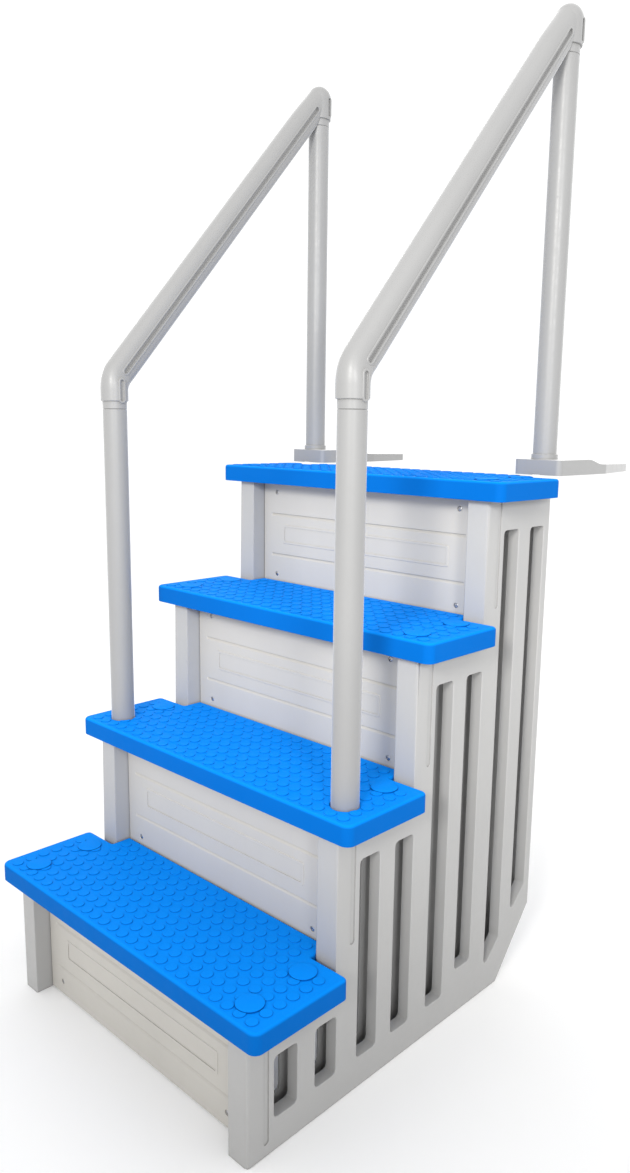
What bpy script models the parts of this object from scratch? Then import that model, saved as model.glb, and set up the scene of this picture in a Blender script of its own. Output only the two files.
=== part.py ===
"""Four-step moulded ladder for an above-ground pool, with a handrail at each side.

Two slotted side panels carry four treads and four riser panels. Each handrail
stands in a socket of its side panel, climbs at a fixed slope and comes down on
a deck flange, which slides up its post to suit the deck and swivels round it.

Frame: +Z up, X along the treads, +Y the way a person climbs. The origin is on
the floor, in the middle of the object. Lengths are in metres.
"""
import math

import bmesh
import bpy
from mathutils import Matrix, Vector

# ---- Driving dimensions -----------------------------------------------------
STEPS = 4
RISE = 0.277                 # tread top to tread top
RUN = 0.2055                 # tread front to tread front
GAP = 0.0003                 # clearance between pieces that touch

TREAD_WIDTH = 0.813          # 32 in
TREAD_THICKNESS = 0.038
TREAD_EAR_DEPTH = 0.2155     # beside the next step's posts
TREAD_REAR_GAP = 0.0012      # to the riser behind it
TREAD_CORNER = 0.018
EAR_CORNER = 0.012
NOTCH_CORNER = 0.004
TREAD_EDGE = 0.006
TREAD_SKIN = 0.005
TREAD_COLUMNS = 4            # ribbed cells across the underside

BOLT_X = 0.338
BOLT_DEPTHS = (0.0505, 0.172)   # behind the tread's front edge
BOLT_STEM = 0.0055
BOLT_SIDES = 12              # facets of a bolt and of its holes, so that they line up
BOLT_LENGTH = 0.0623
BOLT_HOLE_DEPTH = 0.025      # into a boss in the side panel
BOSS_RADIUS = 0.0085
BOSS_FLOOR = 0.005
CAP_RADIUS = 0.0250
CAP_CROWN_RADIUS = 0.0215
CAP_HEIGHT = 0.0033

PANEL_OVERHANG = 0.042       # tread end beyond the side panel's outer face
PANEL_THICKNESS = 0.049
PANEL_WALL = 0.004
PANEL_DEPTH = 0.8675         # its rear edge, behind the first tread's front
PANEL_FOOT_DEPTH = 0.747     # the same at the floor, below the chamfer
PANEL_CHAMFER_Z = 0.143
POST_SETBACK = 0.021         # tread front to the panel's front face
POST_EDGE = 0.008
POST_GROOVE = (0.057, 0.069)    # shallow upright groove, behind the tread's front
POST_GROOVE_DEPTH = 0.0022

SLOTS = ((0.081, 0.135), (0.178, 0.231))   # along the run, from the tread front
SLOT_TOP = 0.062             # below the panel's top
SLOT_FOOT = 0.061
SHORT_SLOT = (3, 1)          # the step and slot just ahead of the chamfer
SHORT_SLOT_FOOT = 0.100
LAST_SLOT_FOOT = 0.054       # the last step's slots climb with the chamfer
LAST_SLOT_SLOPE = 0.945
SLOT_COLLAR = 0.025          # depth of the wall round a slot
SLOT_CORNER = 0.008

RISER_SETBACK = 0.057        # tread front to the riser's front face
RISER_THICKNESS = 0.006
RISER_SIDE_GAP = 0.0012
GROOVES = (0.066, 0.164)     # above the tread below
GROOVE_HALF = 0.2885
GROOVE_DEPTH = 0.0032
GROOVE_HEIGHT = 0.010
RIB_HALF = 0.2285            # stiffener behind a groove
FIELD_HALF = 0.247           # raised field between the grooves
FIELD_MARGIN = 0.026
FIELD_RAISE = 0.0008
RISER_SCREW_X = 0.270
RISER_SCREWS = (0.015, 0.215)   # above the tread below
FIRST_SCREW = 0.031          # lowest screw, above the floor
LUG = 0.012                  # half width, and depth, of a tab behind a riser

RAIL_X = 0.340               # plane of each handrail
RAIL_SLOPE = math.radians(49.0)
RAIL_WIDTH = 0.048
RAIL_HEIGHT = 0.063
RAIL_BORE = 0.0175
SLEEVE_RADIUS = 0.0288
LOW_BEND_Z = 1.295           # where the handrail's straight lines meet
LOW_BEND_RADIUS = 0.060
LOW_SLEEVE = 0.045           # sleeve below each of those meeting points
HIGH_SLEEVE = 0.048
NECK = 0.016                 # band between sleeve and post
SPIGOT = 0.055               # reach of the rail inside a post
FRONT_POST_Y = 0.064         # behind the second tread's front edge
FRONT_POST_RADIUS = 0.0253
REAR_POST_Y = 0.874          # behind the first tread's front edge
REAR_POST_RADIUS = 0.0248
POST_WALL = 0.003
SOCKET_DEPTH = 0.150         # of the front post's foot in the side panel
SOCKET_RADIUS = 0.0168       # stays clear of the slot behind it
SOCKET_FLOOR = 0.005
FOOT_RADIUS = 0.0145
POST_BOLT_DROP = 0.030       # below the panel's top
POST_BOLT_RADIUS = 0.0030
POST_BOLT_REACH = 0.0155     # past the post's axis
WINDOW_REACH = (0.014, 0.064)   # behind the post's axis
WINDOW_HALF = 0.015
RAIL_SCREW_DROP = 0.030      # below a neck

FLANGE_BOTTOM = 1.1125
FLANGE_BLOCK = 0.032
FLANGE_TIP = 0.017
FLANGE_HALF_WIDTH = 0.056
FLANGE_TIP_HALF_WIDTH = 0.0225
FLANGE_FRONT = 0.030         # ahead of the post's axis
FLANGE_REACH = 0.340         # behind the post's axis
FLANGE_TAPER = 0.170         # where its sides start to close in
FLANGE_FALL = (0.090, 0.155)    # where the block falls to the tail
DECK_SCREWS = (0.200, 0.290)    # holes behind the post's axis
COLLAR_RADIUS = 0.0276
COLLAR_HEIGHT = 0.043        # above the flange's underside
COLLAR_LIP = 0.0310
COLLAR_LIP_HEIGHT = 0.004
COLLAR_SCREW_DROP = 0.0052   # below the collar's top

# ---- Worked out from them ---------------------------------------------------
Y0 = -(REAR_POST_Y + FLANGE_REACH) / 2      # first tread's front edge
OUTER_X = TREAD_WIDTH / 2 - PANEL_OVERHANG
INNER_X = OUTER_X - PANEL_THICKNESS
NOTCH_X = INNER_X - RISER_SIDE_GAP
TREAD_FULL_DEPTH = RUN + RISER_SETBACK - TREAD_REAR_GAP
FRONT_AXIS_Y = Y0 + RUN + FRONT_POST_Y
REAR_AXIS_Y = Y0 + REAR_POST_Y
HIGH_BEND_Z = LOW_BEND_Z + (REAR_AXIS_Y - FRONT_AXIS_Y) * math.tan(RAIL_SLOPE)
RAIL_LENGTH = (REAR_AXIS_Y - FRONT_AXIS_Y) / math.cos(RAIL_SLOPE)
LOW_SLEEVE_Z = LOW_BEND_Z - LOW_SLEEVE
LOW_NECK_Z = LOW_SLEEVE_Z - NECK
HIGH_SLEEVE_Z = HIGH_BEND_Z - HIGH_SLEEVE
HIGH_NECK_Z = HIGH_SLEEVE_Z - NECK

WHITE = (0.80, 0.80, 0.80, 1.0)
RAIL_WHITE = (0.86, 0.86, 0.86, 1.0)
BLUE = (0.004, 0.26, 1.0, 1.0)
STEEL = (0.55, 0.55, 0.56, 1.0)

SIDES = {1: "right", -1: "left"}


def tread_front(step):
    return Y0 + (step - 1) * RUN


def tread_top(step):
    return step * RISE


def panel_top(step):
    return tread_top(step) - TREAD_THICKNESS - GAP


# ---- Scene and materials ----------------------------------------------------
for leftover in list(bpy.data.objects):
    bpy.data.objects.remove(leftover, do_unlink=True)

PARTS = bpy.data.collections.new("pool_ladder")
CUTTERS = bpy.data.collections.new("cutters")
for group in (PARTS, CUTTERS):
    bpy.context.scene.collection.children.link(group)


def material(name, colour, roughness, metallic=0.0):
    mat = bpy.data.materials.new(name)
    mat.use_nodes = True
    shader = mat.node_tree.nodes["Principled BSDF"]
    shader.inputs["Base Color"].default_value = colour
    shader.inputs["Roughness"].default_value = roughness
    shader.inputs["Metallic"].default_value = metallic
    return mat


BODY_PLASTIC = material("body_plastic", WHITE, 0.45)
TREAD_PLASTIC = material("tread_plastic", BLUE, 0.40)
RAIL_PLASTIC = material("rail_plastic", RAIL_WHITE, 0.30)
SCREW_STEEL = material("screw_steel", STEEL, 0.35, 1.0)


# ---- Tools ------------------------------------------------------------------
WELD = 1e-5                  # points this close are one point
FLAT = math.radians(0.2)     # faces this near to level are one face
CLEAR = 0.01                 # how far a cutter runs past what it cuts
BITE = 0.002                 # how far a joined piece reaches into its neighbour

UPRIGHT = Matrix.Identity(4)
TO_FRONT = Matrix.Rotation(math.radians(90), 4, "X")     # a turned piece's top faces -Y
TO_REAR = Matrix.Rotation(math.radians(-90), 4, "X")     # its top faces +Y

AXES = {
    "x": Matrix(((0, 0, 1, 0), (1, 0, 0, 0), (0, 1, 0, 0), (0, 0, 0, 1))),
    "y": Matrix(((1, 0, 0, 0), (0, 0, -1, 0), (0, 1, 0, 0), (0, 0, 0, 1))),
    "z": UPRIGHT,
}


def add_object(name, data, collection=PARTS):
    obj = bpy.data.objects.new(name, data)
    collection.objects.link(obj)
    if collection is CUTTERS:
        obj.hide_render = True
        obj.display_type = "WIRE"
    return obj


def evaluated_mesh(obj):
    bpy.context.view_layer.update()
    graph = bpy.context.evaluated_depsgraph_get()
    return bpy.data.meshes.new_from_object(obj.evaluated_get(graph))


def cleaned(mesh):
    """Weld close points and merge level faces, so that the next cut is clean."""
    bm = bmesh.new()
    bm.from_mesh(mesh)
    bmesh.ops.remove_doubles(bm, verts=bm.verts, dist=WELD)
    bmesh.ops.dissolve_degenerate(bm, edges=bm.edges, dist=WELD)
    bmesh.ops.dissolve_limit(bm, angle_limit=FLAT, verts=bm.verts, edges=bm.edges)
    bm.to_mesh(mesh)
    bm.free()
    return mesh


def mesh_of(obj):
    """The object's evaluated mesh, with its faces pointing out and the object removed."""
    mesh = evaluated_mesh(obj)
    mesh.transform(obj.matrix_world)
    bpy.data.objects.remove(obj, do_unlink=True)
    bm = bmesh.new()
    bm.from_mesh(cleaned(mesh))
    bmesh.ops.recalc_face_normals(bm, faces=bm.faces)
    bm.to_mesh(mesh)
    bm.free()
    return mesh


def taken(obj):
    """The object's own mesh, with the object removed."""
    mesh = obj.data
    bpy.data.objects.remove(obj, do_unlink=True)
    return mesh


def prism(outlines, axis, low, high):
    """A flat outline, with any holes, as a solid along an axis.

    Its points are (y, z) along x, (x, z) along y and (x, y) along z.
    """
    curve = bpy.data.curves.new("outline", "CURVE")
    curve.dimensions = "2D"
    curve.fill_mode = "BOTH"
    curve.extrude = (high - low) / 2
    for outline in outlines:
        spline = curve.splines.new("POLY")
        spline.points.add(len(outline) - 1)
        for point, (u, v) in zip(spline.points, outline):
            point.co = (u, v, 0, 1)
        spline.use_cyclic_u = True
    obj = add_object("outline", curve, CUTTERS)
    middle = (low + high) / 2
    obj.matrix_world = AXES[axis] @ Matrix.Translation((0, 0, -middle if axis == "y" else middle))
    return mesh_of(obj)


def box(low, high):
    low, high = Vector(low), Vector(high)
    size = Matrix.Diagonal((*(high - low), 1))
    bm = bmesh.new()
    bmesh.ops.create_cube(bm, size=1.0, matrix=Matrix.Translation((low + high) / 2) @ size)
    mesh = bpy.data.meshes.new("box")
    bm.to_mesh(mesh)
    bm.free()
    return mesh


def turned(profile, steps, centre=(0, 0, 0), turn=UPRIGHT):
    """A profile of (radius, height) from top to bottom, turned round its own z.

    A profile that keeps clear of the axis is closed into a ring.
    """
    edges = [(i, i + 1) for i in range(len(profile) - 1)]
    if profile[0][0] > 0:
        edges.append((len(profile) - 1, 0))
    mesh = bpy.data.meshes.new("profile")
    mesh.from_pydata([(radius, 0, z) for radius, z in profile], edges, [])
    obj = add_object("profile", mesh, CUTTERS)
    screw = obj.modifiers.new("Turn", "SCREW")
    screw.steps = screw.render_steps = steps
    screw.use_merge_vertices = True
    screw.merge_threshold = WELD
    obj.matrix_world = Matrix.Translation(centre) @ turn
    return mesh_of(obj)


def cylinder(radius, low, high, steps, centre, turn=UPRIGHT):
    return turned([(0, high), (radius, high), (radius, low), (0, low)], steps, centre, turn)


def joined(meshes):
    bm = bmesh.new()
    for mesh in meshes:
        bm.from_mesh(mesh)
    result = bpy.data.meshes.new("joined")
    bm.to_mesh(result)
    bm.free()
    return result


def boolean(obj, mesh, operation):
    cutter = add_object(obj.name + "_" + operation.lower(), mesh, CUTTERS)
    step = obj.modifiers.new(operation, "BOOLEAN")
    step.operation = operation
    step.solver = "EXACT"
    step.object = cutter
    result = evaluated_mesh(obj)
    obj.modifiers.clear()
    obj.data = cleaned(result)
    bpy.data.objects.remove(cutter, do_unlink=True)


def cut(obj, *meshes):
    for mesh in meshes:
        boolean(obj, mesh, "DIFFERENCE")


def join(obj, *meshes):
    for mesh in meshes:
        boolean(obj, mesh, "UNION")


def rounded(points, radii, segments=3):
    """A closed outline with each corner replaced by an arc of its radius."""
    result = []
    for i, radius in enumerate(radii):
        corner = Vector(points[i])
        before = (Vector(points[i - 1]) - corner).normalized()
        after = (Vector(points[(i + 1) % len(points)]) - corner).normalized()
        if radius == 0:
            result.append(tuple(corner))
            continue
        half = before.angle(after) / 2
        reach = radius / math.tan(half)
        centre = corner + (before + after).normalized() * radius / math.sin(half)
        start = corner + before * reach - centre
        end = corner + after * reach - centre
        sweep = math.copysign(math.pi - 2 * half, start.x * end.y - start.y * end.x)
        for k in range(segments + 1):
            result.append(tuple(centre + Matrix.Rotation(sweep * k / segments, 2) @ start))
    return result


def rectangle(low, high, radius=0.0, segments=3):
    corners = [low, (high[0], low[1]), high, (low[0], high[1])]
    return rounded(corners, [radius] * 4, segments)


def round_ended(start, end, width):
    """A slot of this width with round ends, between two points."""
    along = Vector(end) - Vector(start)
    angle = math.atan2(along.y, along.x)
    outline = []
    for centre, first in ((end, angle - math.pi / 2), (start, angle + math.pi / 2)):
        for k in range(5):
            turn = first + math.pi * k / 4
            outline.append((centre[0] + width / 2 * math.cos(turn), centre[1] + width / 2 * math.sin(turn)))
    return outline


def bevel_edges(mesh, width, segments, wanted):
    """Round the edges whose two ends together pass the test."""
    bm = bmesh.new()
    bm.from_mesh(mesh)
    edges = [e for e in bm.edges if wanted(e.verts[0].co, e.verts[1].co)]
    bmesh.ops.bevel(bm, geom=edges, offset=width, segments=segments, profile=0.5, affect="EDGES")
    bm.to_mesh(mesh)
    bm.free()


def place(name, mesh, mat, location=(0, 0, 0), turn=UPRIGHT, angle=35.0, parent=None):
    """A finished piece, smooth except at edges sharper than the angle in degrees."""
    mesh.materials.clear()
    mesh.materials.append(mat)
    mesh.shade_smooth()
    mesh.set_sharp_from_angle(angle=math.radians(angle))
    piece = add_object(name, mesh)
    piece.parent = parent
    piece.location = location
    piece.rotation_euler = turn.to_euler()
    return piece


def pair(name, mesh, mat, angle=35.0, parents=None):
    """The same piece at both sides, the left one mirrored."""
    left = mesh.copy()
    left.transform(Matrix.Scale(-1, 4, (1, 0, 0)))
    left.flip_normals()
    for side, copy in ((1, mesh), (-1, left)):
        parent = parents[side] if parents else None
        place(name + "_" + SIDES[side], copy, mat, angle=angle, parent=parent)


def headed_pin(head, crown, stem, steps):
    """A screw or bolt along z with its head's underside at z = 0.

    Head and crown are (radius, height) of the rim and top; stem is (radius, length).
    """
    return turned([(0, crown[1]), crown, head, (stem[0], 0), (stem[0], -stem[1]), (0, -stem[1])], steps)


# ---- Side panels ------------------------------------------------------------
def panel_outline(inset):
    """The stair-shaped edge of a side panel, moved inward by the inset."""
    points = [(tread_front(1) + POST_SETBACK + inset, inset)]
    for step in range(1, STEPS + 1):
        front = tread_front(step) + POST_SETBACK + inset
        if step > 1:
            points.append((front, panel_top(step - 1) - inset))
        points.append((front, panel_top(step) - inset))
    rear, foot_rear = Y0 + PANEL_DEPTH, Y0 + PANEL_FOOT_DEPTH
    slope = PANEL_CHAMFER_Z / (rear - foot_rear)
    shift = inset * math.hypot(1, slope) / slope
    points.append((rear - inset, panel_top(STEPS) - inset))
    points.append((rear - inset, PANEL_CHAMFER_Z + (shift - inset) * slope))
    points.append((foot_rear + inset / slope - shift, inset))
    return points


def slot_feet(step, slot, near, far):
    if (step, slot) == SHORT_SLOT:
        return SHORT_SLOT_FOOT, SHORT_SLOT_FOOT
    if step < STEPS:
        return SLOT_FOOT, SLOT_FOOT
    start = tread_front(step) + SLOTS[0][0]
    return tuple(LAST_SLOT_FOOT + LAST_SLOT_SLOPE * (y - start) for y in (near, far))


def slot_outline(step, slot, grow):
    """One slot, grown outward; its top follows its step, its foot the panel's."""
    near, far = (tread_front(step) + edge for edge in SLOTS[slot])
    near_foot, far_foot = slot_feet(step, slot, near, far)
    top = panel_top(step) - SLOT_TOP + grow
    corners = [(near - grow, near_foot - grow), (far + grow, far_foot - grow),
               (far + grow, top), (near - grow, top)]
    return rounded(corners, [SLOT_CORNER + grow / 2] * 4, 2)


def every_slot(grow):
    return [slot_outline(step, slot, grow) for step in range(1, STEPS + 1) for slot in (0, 1)]


def bolt_window():
    """Opening in the inner skin, through which the front post's bolt is fitted."""
    height = panel_top(2) - POST_BOLT_DROP
    near, far = (FRONT_AXIS_Y + reach for reach in WINDOW_REACH)
    return rectangle((near, height - WINDOW_HALF), (far, height + WINDOW_HALF), 0.005, 2)


def riser_screw_heights(step):
    low, high = (tread_top(step - 1) + height for height in RISER_SCREWS)
    return (FIRST_SCREW if step == 1 else low, high)


def add_riser_lugs(panel):
    """Tabs that reach inward behind each riser, with pilot holes for its screws."""
    for step in range(1, STEPS + 1):
        face = tread_front(step) + RISER_SETBACK
        rear = face + RISER_THICKNESS + GAP
        for height in riser_screw_heights(step):
            join(panel, box((RISER_SCREW_X - LUG, rear, height - LUG),
                            (INNER_X + BITE, rear + LUG, height + LUG)))
            cut(panel, cylinder(0.0023, -0.030, 0.0, 6, (RISER_SCREW_X, face, height), TO_FRONT))


def add_panel_sockets(panel):
    """Bosses for the tread bolts and the closed socket for the front post's foot."""
    top = panel_top(2)
    axis = (RAIL_X, FRONT_AXIS_Y, 0)
    socket_foot = top - SOCKET_DEPTH - SOCKET_FLOOR
    join(panel, cylinder(SOCKET_RADIUS, socket_foot, top - PANEL_WALL / 2, 16, axis))
    for step in range(1, STEPS + 1):
        high = panel_top(step)
        for side, x, y in bolt_places(step):
            if side > 0:
                boss_foot = high - BOLT_HOLE_DEPTH - BOSS_FLOOR
                join(panel, cylinder(BOSS_RADIUS, boss_foot, high - PANEL_WALL / 2, 8, (x, y, 0)))
                hole_foot = high - BOLT_HOLE_DEPTH
                cut(panel, cylinder(BOLT_STEM + GAP, hole_foot, high + CLEAR, BOLT_SIDES, (x, y, 0)))
    cut(panel, cylinder(FOOT_RADIUS + GAP, top - SOCKET_DEPTH, top + CLEAR, 16, axis))
    bolt = (RAIL_X, FRONT_AXIS_Y, top - POST_BOLT_DROP)
    cut(panel, cylinder(POST_BOLT_RADIUS + GAP, -POST_BOLT_REACH - GAP, 0.03, 8, bolt, TO_REAR))


def side_panel():
    """Hollow panel with two skins; each slot has a wall of its own behind the outer skin."""
    body = prism([panel_outline(0)], "x", INNER_X, OUTER_X)
    fronts = [tread_front(step) + POST_SETBACK for step in range(1, STEPS + 1)]

    def outer_front_corner(a, b):
        upright = abs(a.y - b.y) < WELD and min(a.x, b.x) > OUTER_X - WELD
        return upright and any(abs(a.y - front) < WELD for front in fronts)

    bevel_edges(body, POST_EDGE, 2, outer_front_corner)
    panel = add_object("side_panel", body)
    collar_x = OUTER_X - SLOT_COLLAR
    inside = panel_outline(PANEL_WALL)
    overlap = 10 * WELD
    cut(panel, prism([inside], "x", INNER_X + PANEL_WALL, collar_x + overlap))
    cut(panel, prism([inside] + every_slot(PANEL_WALL), "x", collar_x, OUTER_X - PANEL_WALL))
    cut(panel, prism(every_slot(0), "x", INNER_X - CLEAR, OUTER_X + CLEAR))
    cut(panel, prism([bolt_window()], "x", INNER_X - CLEAR, INNER_X + PANEL_WALL + overlap))
    for step in range(1, STEPS + 1):
        near, far = (tread_front(step) + edge for edge in POST_GROOVE)
        groove = rectangle((near, tread_top(step - 1) + 0.022), (far, panel_top(step) - 0.003), 0.0055, 2)
        cut(panel, prism([groove], "x", OUTER_X - POST_GROOVE_DEPTH, OUTER_X + CLEAR))
    add_panel_sockets(panel)
    add_riser_lugs(panel)
    pair("side_panel", taken(panel), BODY_PLASTIC, 30.0)


# ---- Treads -----------------------------------------------------------------
def bolt_places(step):
    """Where the tread is bolted down; the handrails take two of the places."""
    for side in SIDES:
        for depth in BOLT_DEPTHS:
            if step != 2 or depth != BOLT_DEPTHS[0]:
                yield side, side * BOLT_X, tread_front(step) + depth


def tread_outline(front):
    half = TREAD_WIDTH / 2
    ear, full = front + TREAD_EAR_DEPTH, front + TREAD_FULL_DEPTH
    right = [(half, front), (half, ear), (NOTCH_X, ear), (NOTCH_X, full)]
    left = [(-x, y) for x, y in reversed(right)]
    radii = [TREAD_CORNER, EAR_CORNER, NOTCH_CORNER, NOTCH_CORNER]
    return rounded(right + left, radii + radii[::-1])


def tread_cells(front):
    """Open cells under a tread, between its skirt and its ribs."""
    pitch = (2 * NOTCH_X - TREAD_SKIN) / TREAD_COLUMNS
    middle = front + TREAD_FULL_DEPTH / 2
    for column in range(TREAD_COLUMNS):
        low = -NOTCH_X + TREAD_SKIN + column * pitch
        high = low + pitch - TREAD_SKIN
        yield (low, front + TREAD_SKIN), (high, middle - TREAD_SKIN / 2)
        yield (low, middle + TREAD_SKIN / 2), (high, front + TREAD_FULL_DEPTH - TREAD_SKIN)
    for side in SIDES:
        near, far = sorted((side * (OUTER_X + 0.004), side * (TREAD_WIDTH / 2 - TREAD_SKIN)))
        yield (near, front + TREAD_CORNER), (far, front + TREAD_EAR_DEPTH - EAR_CORNER)
        near, far = sorted((side * (INNER_X + 0.002), side * (OUTER_X - 0.002)))
        yield (near, front + 0.096), (far, front + 0.150)


def tread(step):
    front, top = tread_front(step), tread_top(step)
    low = top - TREAD_THICKNESS
    mesh = prism([tread_outline(front)], "z", low, top)
    bevel_edges(mesh, TREAD_EDGE, 2, lambda a, b: min(a.z, b.z) > top - WELD)
    piece = add_object("tread", mesh)
    holes = [cylinder(BOLT_STEM + GAP, low - CLEAR, top + CLEAR, BOLT_SIDES, (x, y, 0))
             for _, x, y in bolt_places(step)]
    if step == 2:
        for side in SIDES:
            axis = (side * RAIL_X, FRONT_AXIS_Y, 0)
            holes.append(cylinder(FRONT_POST_RADIUS + GAP, low - CLEAR, top + CLEAR, 24, axis))
    cut(piece, joined(holes))
    cells = [prism([rectangle(a, b)], "z", low - CLEAR, top - TREAD_SKIN) for a, b in tread_cells(front)]
    cut(piece, joined(cells))
    place("tread_%d" % step, taken(piece), TREAD_PLASTIC)


def tread_bolts():
    """Plastic bolts that hold the treads down; their heads are the round caps."""
    mesh = headed_pin((CAP_RADIUS, 0), (CAP_CROWN_RADIUS, CAP_HEIGHT), (BOLT_STEM, BOLT_LENGTH), BOLT_SIDES)
    for step in range(1, STEPS + 1):
        for side, x, y in bolt_places(step):
            end = "front" if y < tread_front(step) + TREAD_EAR_DEPTH / 2 else "rear"
            name = "tread_%d_bolt_%s_%s" % (step, end, SIDES[side])
            place(name, mesh, TREAD_PLASTIC, (x, y, tread_top(step) + GAP))


# ---- Riser panels -----------------------------------------------------------
SCREW_HOLE = 0.0027
SCREW_SEAT = (0.0052, 0.0026)   # radius and depth of the counterbore


def riser_groove(face, z):
    """Section of a groove: a sharp upper edge over a sloping lower band."""
    floor = face + GROOVE_DEPTH
    ahead = face - 0.004
    return [(ahead, z - GROOVE_HEIGHT - 0.0125), (face, z - GROOVE_HEIGHT),
            (floor, z - 0.001), (floor, z), (ahead, z + 0.0004)]


def riser_panel(step):
    face = tread_front(step) + RISER_SETBACK
    below = tread_top(step - 1)
    low = 0.003 if step == 1 else below - TREAD_THICKNESS + 0.006
    sheet = rectangle((-NOTCH_X, low), (NOTCH_X, panel_top(step) - 0.001))
    panel = add_object("riser_panel", prism([sheet], "y", face, face + RISER_THICKNESS))
    for height in GROOVES:
        z = below + height
        rib = rectangle((-RIB_HALF, z - 0.012), (RIB_HALF, z + 0.006))
        join(panel, prism([rib], "y", face + RISER_THICKNESS - BITE, face + 0.016))
        cut(panel, prism([riser_groove(face, z)], "x", -GROOVE_HALF, GROOVE_HALF))
    field = rectangle((-FIELD_HALF, below + GROOVES[0] + FIELD_MARGIN),
                      (FIELD_HALF, below + GROOVES[1] - FIELD_MARGIN))
    join(panel, prism([field], "y", face - FIELD_RAISE, face + BITE))
    for side in SIDES:
        for height in riser_screw_heights(step):
            where = (side * RISER_SCREW_X, face, height)
            cut(panel, cylinder(SCREW_HOLE, -0.020, CLEAR, 8, where, TO_FRONT))
            cut(panel, cylinder(SCREW_SEAT[0], -SCREW_SEAT[1], CLEAR, 12, where, TO_FRONT))
    place("riser_panel_%d" % step, taken(panel), BODY_PLASTIC, angle=25.0)


def riser_screws():
    mesh = headed_pin((0.0046, 0), (0.0030, 0.0019), (0.0020, 0.0147), 8)
    for step in range(1, STEPS + 1):
        seat = tread_front(step) + RISER_SETBACK + SCREW_SEAT[1] - GAP
        for level, height in zip(("low", "high"), riser_screw_heights(step)):
            for side, side_name in SIDES.items():
                name = "riser_%d_screw_%s_%s" % (step, level, side_name)
                place(name, mesh, SCREW_STEEL, (side * RISER_SCREW_X, seat, height), TO_FRONT)


# ---- Handrails --------------------------------------------------------------
def rail_screw_hole(axis_y, neck_z):
    """Hole for the screw that pins a post to the rail's spigot, from the rear."""
    return cylinder(0.0024, 0.010, 0.040, 8, (RAIL_X, axis_y, neck_z - RAIL_SCREW_DROP), TO_REAR)


def front_post():
    """Tube with a narrower foot, which drops into the side panel's socket."""
    seat = panel_top(2) + GAP
    foot = panel_top(2) - SOCKET_DEPTH + GAP
    head = LOW_NECK_Z - GAP
    inner, foot_inner = FRONT_POST_RADIUS - POST_WALL, FOOT_RADIUS - POST_WALL
    profile = [(FRONT_POST_RADIUS, head), (FRONT_POST_RADIUS, seat), (FOOT_RADIUS, seat),
               (FOOT_RADIUS, foot), (foot_inner, foot), (foot_inner, seat + 0.004),
               (inner, seat + 0.012), (inner, head)]
    post = add_object("front_post", turned(profile, 24, (RAIL_X, FRONT_AXIS_Y, 0)))
    bolt = (RAIL_X, FRONT_AXIS_Y, panel_top(2) - POST_BOLT_DROP)
    cut(post, cylinder(POST_BOLT_RADIUS + GAP, -0.03, 0.03, 8, bolt, TO_REAR))
    cut(post, rail_screw_hole(FRONT_AXIS_Y, LOW_NECK_Z))
    pair("front_post", taken(post), RAIL_PLASTIC)


def rear_post():
    inner = REAR_POST_RADIUS - POST_WALL
    foot, head = FLANGE_BOTTOM + 0.001, HIGH_NECK_Z - GAP
    profile = [(REAR_POST_RADIUS, head), (REAR_POST_RADIUS, foot), (inner, foot), (inner, head)]
    post = add_object("rear_post", turned(profile, 24, (RAIL_X, REAR_AXIS_Y, 0)))
    cut(post, rail_screw_hole(REAR_AXIS_Y, HIGH_NECK_Z))
    pair("rear_post", taken(post), RAIL_PLASTIC)


def post_bolts():
    """Bolts from the rear, through each panel's socket and the post's foot."""
    seat = SOCKET_RADIUS + GAP
    mesh = headed_pin((0.0062, 0), (0.0040, 0.0045), (POST_BOLT_RADIUS, seat + POST_BOLT_REACH), 8)
    for side, side_name in SIDES.items():
        where = (side * RAIL_X, FRONT_AXIS_Y + seat, panel_top(2) - POST_BOLT_DROP)
        place("post_bolt_" + side_name, mesh, SCREW_STEEL, where, TO_REAR)


def rail_screws():
    for level, axis_y, neck_z, radius in (("low", FRONT_AXIS_Y, LOW_NECK_Z, FRONT_POST_RADIUS),
                                          ("high", REAR_AXIS_Y, HIGH_NECK_Z, REAR_POST_RADIUS)):
        seat = radius + GAP
        mesh = headed_pin((0.0045, 0), (0.0030, 0.0021), (0.0020, seat - 0.0115), 8)
        for side, side_name in SIDES.items():
            where = (side * RAIL_X, axis_y + seat, neck_z - RAIL_SCREW_DROP)
            place("rail_screw_%s_%s" % (level, side_name), mesh, SCREW_STEEL, where, TO_REAR)


def oval(half_x, half_n, power, count=16):
    """A rounded cross-section: an ellipse at power 2, squarer above it."""
    for k in range(count):
        turn = 2 * math.pi * k / count
        c, s = math.cos(turn), math.sin(turn)
        yield (math.copysign(abs(c) ** (2 / power), c) * half_x,
               math.copysign(abs(s) ** (2 / power), s) * half_n)


def loft(stations):
    """A closed skin through unlike sections along a path in the plane x = RAIL_X.

    A station is (y, z, direction angle, half width, half height, power).
    """
    bm = bmesh.new()
    rings = []
    for y, z, angle, half_x, half_n, power in stations:
        normal = Vector((0, -math.sin(angle), math.cos(angle)))
        rings.append([bm.verts.new(Vector((RAIL_X + u, y, z)) + normal * v)
                      for u, v in oval(half_x, half_n, power)])
    count = len(rings[0])
    for one, other in zip(rings, rings[1:]):
        for k in range(count):
            bm.faces.new((one[k], one[(k + 1) % count], other[(k + 1) % count], other[k]))
    bm.faces.new(rings[0])
    bm.faces.new(rings[-1])
    bmesh.ops.recalc_face_normals(bm, faces=bm.faces)
    mesh = bpy.data.meshes.new("loft")
    bm.to_mesh(mesh)
    bm.free()
    return mesh


def rail_point(distance):
    """A point on the sloping line, measured from its lower end."""
    return (FRONT_AXIS_Y + distance * math.cos(RAIL_SLOPE),
            LOW_BEND_Z + distance * math.sin(RAIL_SLOPE))


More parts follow.
